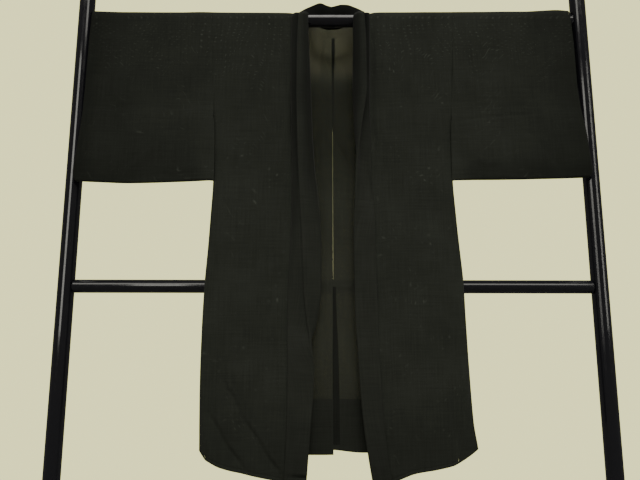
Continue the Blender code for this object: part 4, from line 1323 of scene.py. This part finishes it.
class HaoriClothSettings(bpy.types.PropertyGroup):
    """Sizes and colours of the jacket's cloth."""
    step: length_property("Mesh step", "Distance between the points of the cloth's mesh", 0.0042)
    thread_pitch: length_property(
        "Thread pitch", "Distance between neighbouring threads of the gauze", 0.0006, precision=5)
    open_share: share_property("Openness", "How clear the holes between the threads are", 0.95)
    yarn_contrast: share_property(
        "Yarn contrast", "How much uneven yarn lightens and darkens the cloth", 0.22)
    # Painted light: how much lighter the spots where two layers' holes line up are painted.
    moire: number_property(
        "Moire", "How much lighter the cloth is where two layers' holes line up", 1.5, min=0.0)
    gauze_colour: colour_property(
        "Gauze", "Colour of one layer of cloth", (0.0194, 0.0215, 0.0177))
    doubled_colour: colour_property(
        "Doubled gauze", "Colour where the cloth is folded double", (0.019, 0.0208, 0.0174))
    # Painted light: the paler colour that the back's inner face takes near the neck and low down.
    painted_light_colour: colour_property(
        "Painted light", "Colour of the back where light shines in", (0.043, 0.0432, 0.032))
    # Painted shade: the near-black that the collar near the neck and the seam allowances go
    # towards.
    painted_shade_colour: colour_property(
        "Painted shade", "Colour inside the collar round the neck", (0.0045, 0.005, 0.0046))
    roughness: share_property("Roughness", "How matt the cloth is", 0.78)
    gloss: share_property("Gloss", "How strongly the threads reflect", 0.02)
    sheen: share_property("Sheen", "Soft light at grazing angles", 0.03)


class HaoriStandSettings(bpy.types.PropertyGroup):
    """Finish of the tubular stand."""
    enamel_colour: colour_property("Enamel", "Colour of the stand's enamel", (0.006, 0.006, 0.008))
    enamel_roughness: share_property("Roughness", "How blurred the enamel's reflections are", 0.1)


class HaoriStageSettings(bpy.types.PropertyGroup):
    """Floor, wall light, lamps and camera."""
    floor_radius: length_property("Floor radius", "Radius of the round floor", 1.3)
    floor_colour: colour_property("Floor", "Colour of the floor", (0.62, 0.61, 0.56))
    surround_colour: colour_property(
        "Surround", "Colour of the plain light all round", (1.0, 0.98, 0.46))
    surround_strength: number_property(
        "Surround strength", "How bright the surround looks", 1.45)
    surround_light: number_property(
        "Surround light", "How much the surround lights the pieces", 0.66)
    surround_gloss: number_property(
        "Surround gloss", "How bright the surround is in reflections", 0.1)
    key_power: power_property("Ceiling lamp", "Power of the large lamp high in front", 560.0)
    back_power: power_property("Back lamp", "Power of the large lamp high behind", 260.0)
    rail_power: power_property(
        "Rail lamp", "Power of the lamp that shows in the rail at the neck", 0.9)
    long_power: power_property(
        "Wide lamp", "Power of the wide lamp that shows along the rails", 90.0)
    tall_power: power_property(
        "Tall lamp", "Power of the narrow lamp that shows down the posts", 17.0)
    side_power: power_property(
        "Side lamp", "Power of the lamp that draws the posts' second line", 28.0)


# ---- Stage -----------------------------------------------------------------------------------
def build_camera(scene):
    camera = bpy.data.objects.new("camera", bpy.data.cameras.new("camera"))
    camera.data.lens = CAMERA_LENS
    camera.data.sensor_width = CAMERA_SENSOR
    pitch = Matrix.Rotation(math.pi / 2 + CAMERA_PITCH, 4, "X")
    roll = Matrix.Rotation(CAMERA_ROLL, 4, "Z")
    camera.matrix_world = Matrix.Translation(CAMERA_PLACE) @ pitch @ roll
    scene.collection.objects.link(camera)
    scene.camera = camera


def build_surround(scene, stage):
    world = bpy.data.worlds.new("plain surround")
    scene.world = world
    world.use_nodes = True
    tree = world.node_tree
    background = tree.nodes["Background"]
    path = add_node(tree, "LightPath").outputs
    colour = ramp(tree, path["Is Camera Ray"], LAMP_COLOUR, stage.surround_colour)
    strength = calculate(tree, "MULTIPLY_ADD", path["Is Glossy Ray"],
                         stage.surround_gloss - stage.surround_light, stage.surround_light)
    strength = calculate(tree, "MULTIPLY_ADD", path["Is Camera Ray"],
                         stage.surround_strength - stage.surround_light, strength)
    feed(tree, background.inputs, {"Color": colour, "Strength": strength})


def build_lamp(lamp, stage):
    data = bpy.data.lights.new(lamp.name, "AREA")
    data.shape = "RECTANGLE"
    data.size, data.size_y = lamp.wide, lamp.tall
    data.energy = getattr(stage, lamp.power)
    data.color = LAMP_COLOUR
    placed = bpy.data.objects.new(lamp.name, data)
    placed.location = lamp.place
    placed.visible_glossy = lamp.reach == SHOWS_IN_GLOSS
    placed.visible_diffuse = lamp.reach == LIGHTS_CLOTH
    aim = Vector(lamp.aim) - placed.location
    placed.rotation_euler = aim.to_track_quat("-Z", "Y").to_euler()
    bpy.context.scene.collection.objects.link(placed)


def build_floor(stage):
    mesh = bpy.data.meshes.new("floor")
    disc = bmesh.new()
    bmesh.ops.create_circle(disc, cap_ends=True, segments=96, radius=stage.floor_radius)
    disc.to_mesh(mesh)
    disc.free()
    mesh.materials.append(floor_finish(stage))
    floor = bpy.data.objects.new("floor", mesh)
    floor.location.z = -0.0005
    floor.visible_glossy = False
    bpy.context.scene.collection.objects.link(floor)


# ---- Operators -------------------------------------------------------------------------------
class HAORI_OT_body(bpy.types.Operator):
    """Hangs both body strips over the rail, front and back in one length of gauze each"""
    bl_idname = "haori.body"
    bl_label = "Body"

    def execute(self, context):
        cloth = context.scene.haori_cloth
        gauze, doubled = gauze_finish(cloth), doubled_finish(cloth)
        for side in SIDES:
            body = build_body(side, cloth, gauze)
            back_hem = cloth_piece("hem_fold_back_" + side, [back_hem_patch(side, cloth.step)],
                                   doubled)
            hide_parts("back_hem_" + side)
            front_hem = cloth_piece("hem_fold_front_" + side, [front_hem_patch(side, cloth.step)],
                                    doubled)
            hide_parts("front_hem_" + side)
            seams = cloth_piece("side_allowances_" + side, side_allowances(side, cloth.step),
                                doubled)
            if side == "left":
                cloth_piece("centre_allowance", centre_allowance_patches(cloth.step),
                                          doubled)
        return {"FINISHED"}


class HAORI_OT_gussets(bpy.types.Operator):
    """Sets the folded gusset strips between front and back at both sides"""
    bl_idname = "haori.gussets"
    bl_label = "Gussets"

    def execute(self, context):
        cloth = context.scene.haori_cloth
        for side in SIDES:
            piece = cloth_piece("gusset_cloth_" + side, [gusset_patch(side, cloth.step)],
                                gauze_finish(cloth))
            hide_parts("gusset_" + side)
        return {"FINISHED"}


class HAORI_OT_sleeves(bpy.types.Operator):
    """Hangs both sleeves over the rail, sewn along the lower edge and open at the cuff"""
    bl_idname = "haori.sleeves"
    bl_label = "Sleeves"

    def execute(self, context):
        cloth = context.scene.haori_cloth
        for side in SIDES:
            sleeve = build_sleeve(side, cloth, gauze_finish(cloth))
            folds = cloth_piece("sleeve_allowances_" + side, sleeve_allowances(side, cloth.step),
                                gauze_finish(cloth))
        return {"FINISHED"}


class HAORI_OT_collar(bpy.types.Operator):
    """Sews the long folded collar band round the neck and down both fronts"""
    bl_idname = "haori.collar"
    bl_label = "Collar"

    def execute(self, context):
        cloth = context.scene.haori_cloth
        collar = build_collar(cloth, doubled_finish(cloth))
        return {"FINISHED"}


class HAORI_OT_stand(bpy.types.Operator):
    """Gives the stand's tubes and feet their black enamel"""
    bl_idname = "haori.stand"
    bl_label = "Stand"

    def execute(self, context):
        enamel = enamel_finish(context.scene.haori_stand)
        for name in STAND_NODES:
            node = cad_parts[name]
            for place in node.material_slots:
                place.material = enamel
        return {"FINISHED"}


class HAORI_OT_stage(bpy.types.Operator):
    """Sets the camera, the plain surround, the lamps and the pale floor"""
    bl_idname = "haori.stage"
    bl_label = "Stage"

    def execute(self, context):
        stage = context.scene.haori_stage
        build_camera(context.scene)
        build_surround(context.scene, stage)
        for lamp in LAMPS:
            build_lamp(lamp, stage)
        build_floor(stage)
        return {"FINISHED"}


class HAORI_PT_panel(bpy.types.Panel):
    """Lists the jacket's pieces and their settings"""
    bl_label = "Haori"
    bl_idname = "HAORI_PT_panel"
    bl_space_type = "VIEW_3D"
    bl_region_type = "UI"
    bl_category = "Haori"

    def draw(self, context):
        layout = self.layout
        for group in (context.scene.haori_cloth, context.scene.haori_stand,
                      context.scene.haori_stage):
            for name in group.__annotations__:
                layout.prop(group, name)
        for operator in OPERATORS:
            layout.operator(operator.bl_idname)


SETTINGS = {"haori_cloth": HaoriClothSettings, "haori_stand": HaoriStandSettings,
            "haori_stage": HaoriStageSettings}
OPERATORS = (HAORI_OT_stage, HAORI_OT_stand, HAORI_OT_body, HAORI_OT_gussets, HAORI_OT_sleeves,
             HAORI_OT_collar)


def register():
    for made in (*SETTINGS.values(), *OPERATORS, HAORI_PT_panel):
        bpy.utils.register_class(made)
    for name, group in SETTINGS.items():
        setattr(bpy.types.Scene, name, bpy.props.PointerProperty(type=group))


def unregister():
    for name in SETTINGS:
        delattr(bpy.types.Scene, name)
    for made in (HAORI_PT_panel, *OPERATORS[::-1], *SETTINGS.values()):
        bpy.utils.unregister_class(made)


def main():
    register()
    bpy.ops.haori.stage()
    bpy.ops.haori.stand()
    bpy.ops.haori.body()
    bpy.ops.haori.gussets()
    bpy.ops.haori.sleeves()
    bpy.ops.haori.collar()


if __name__ == "__main__":
    main()
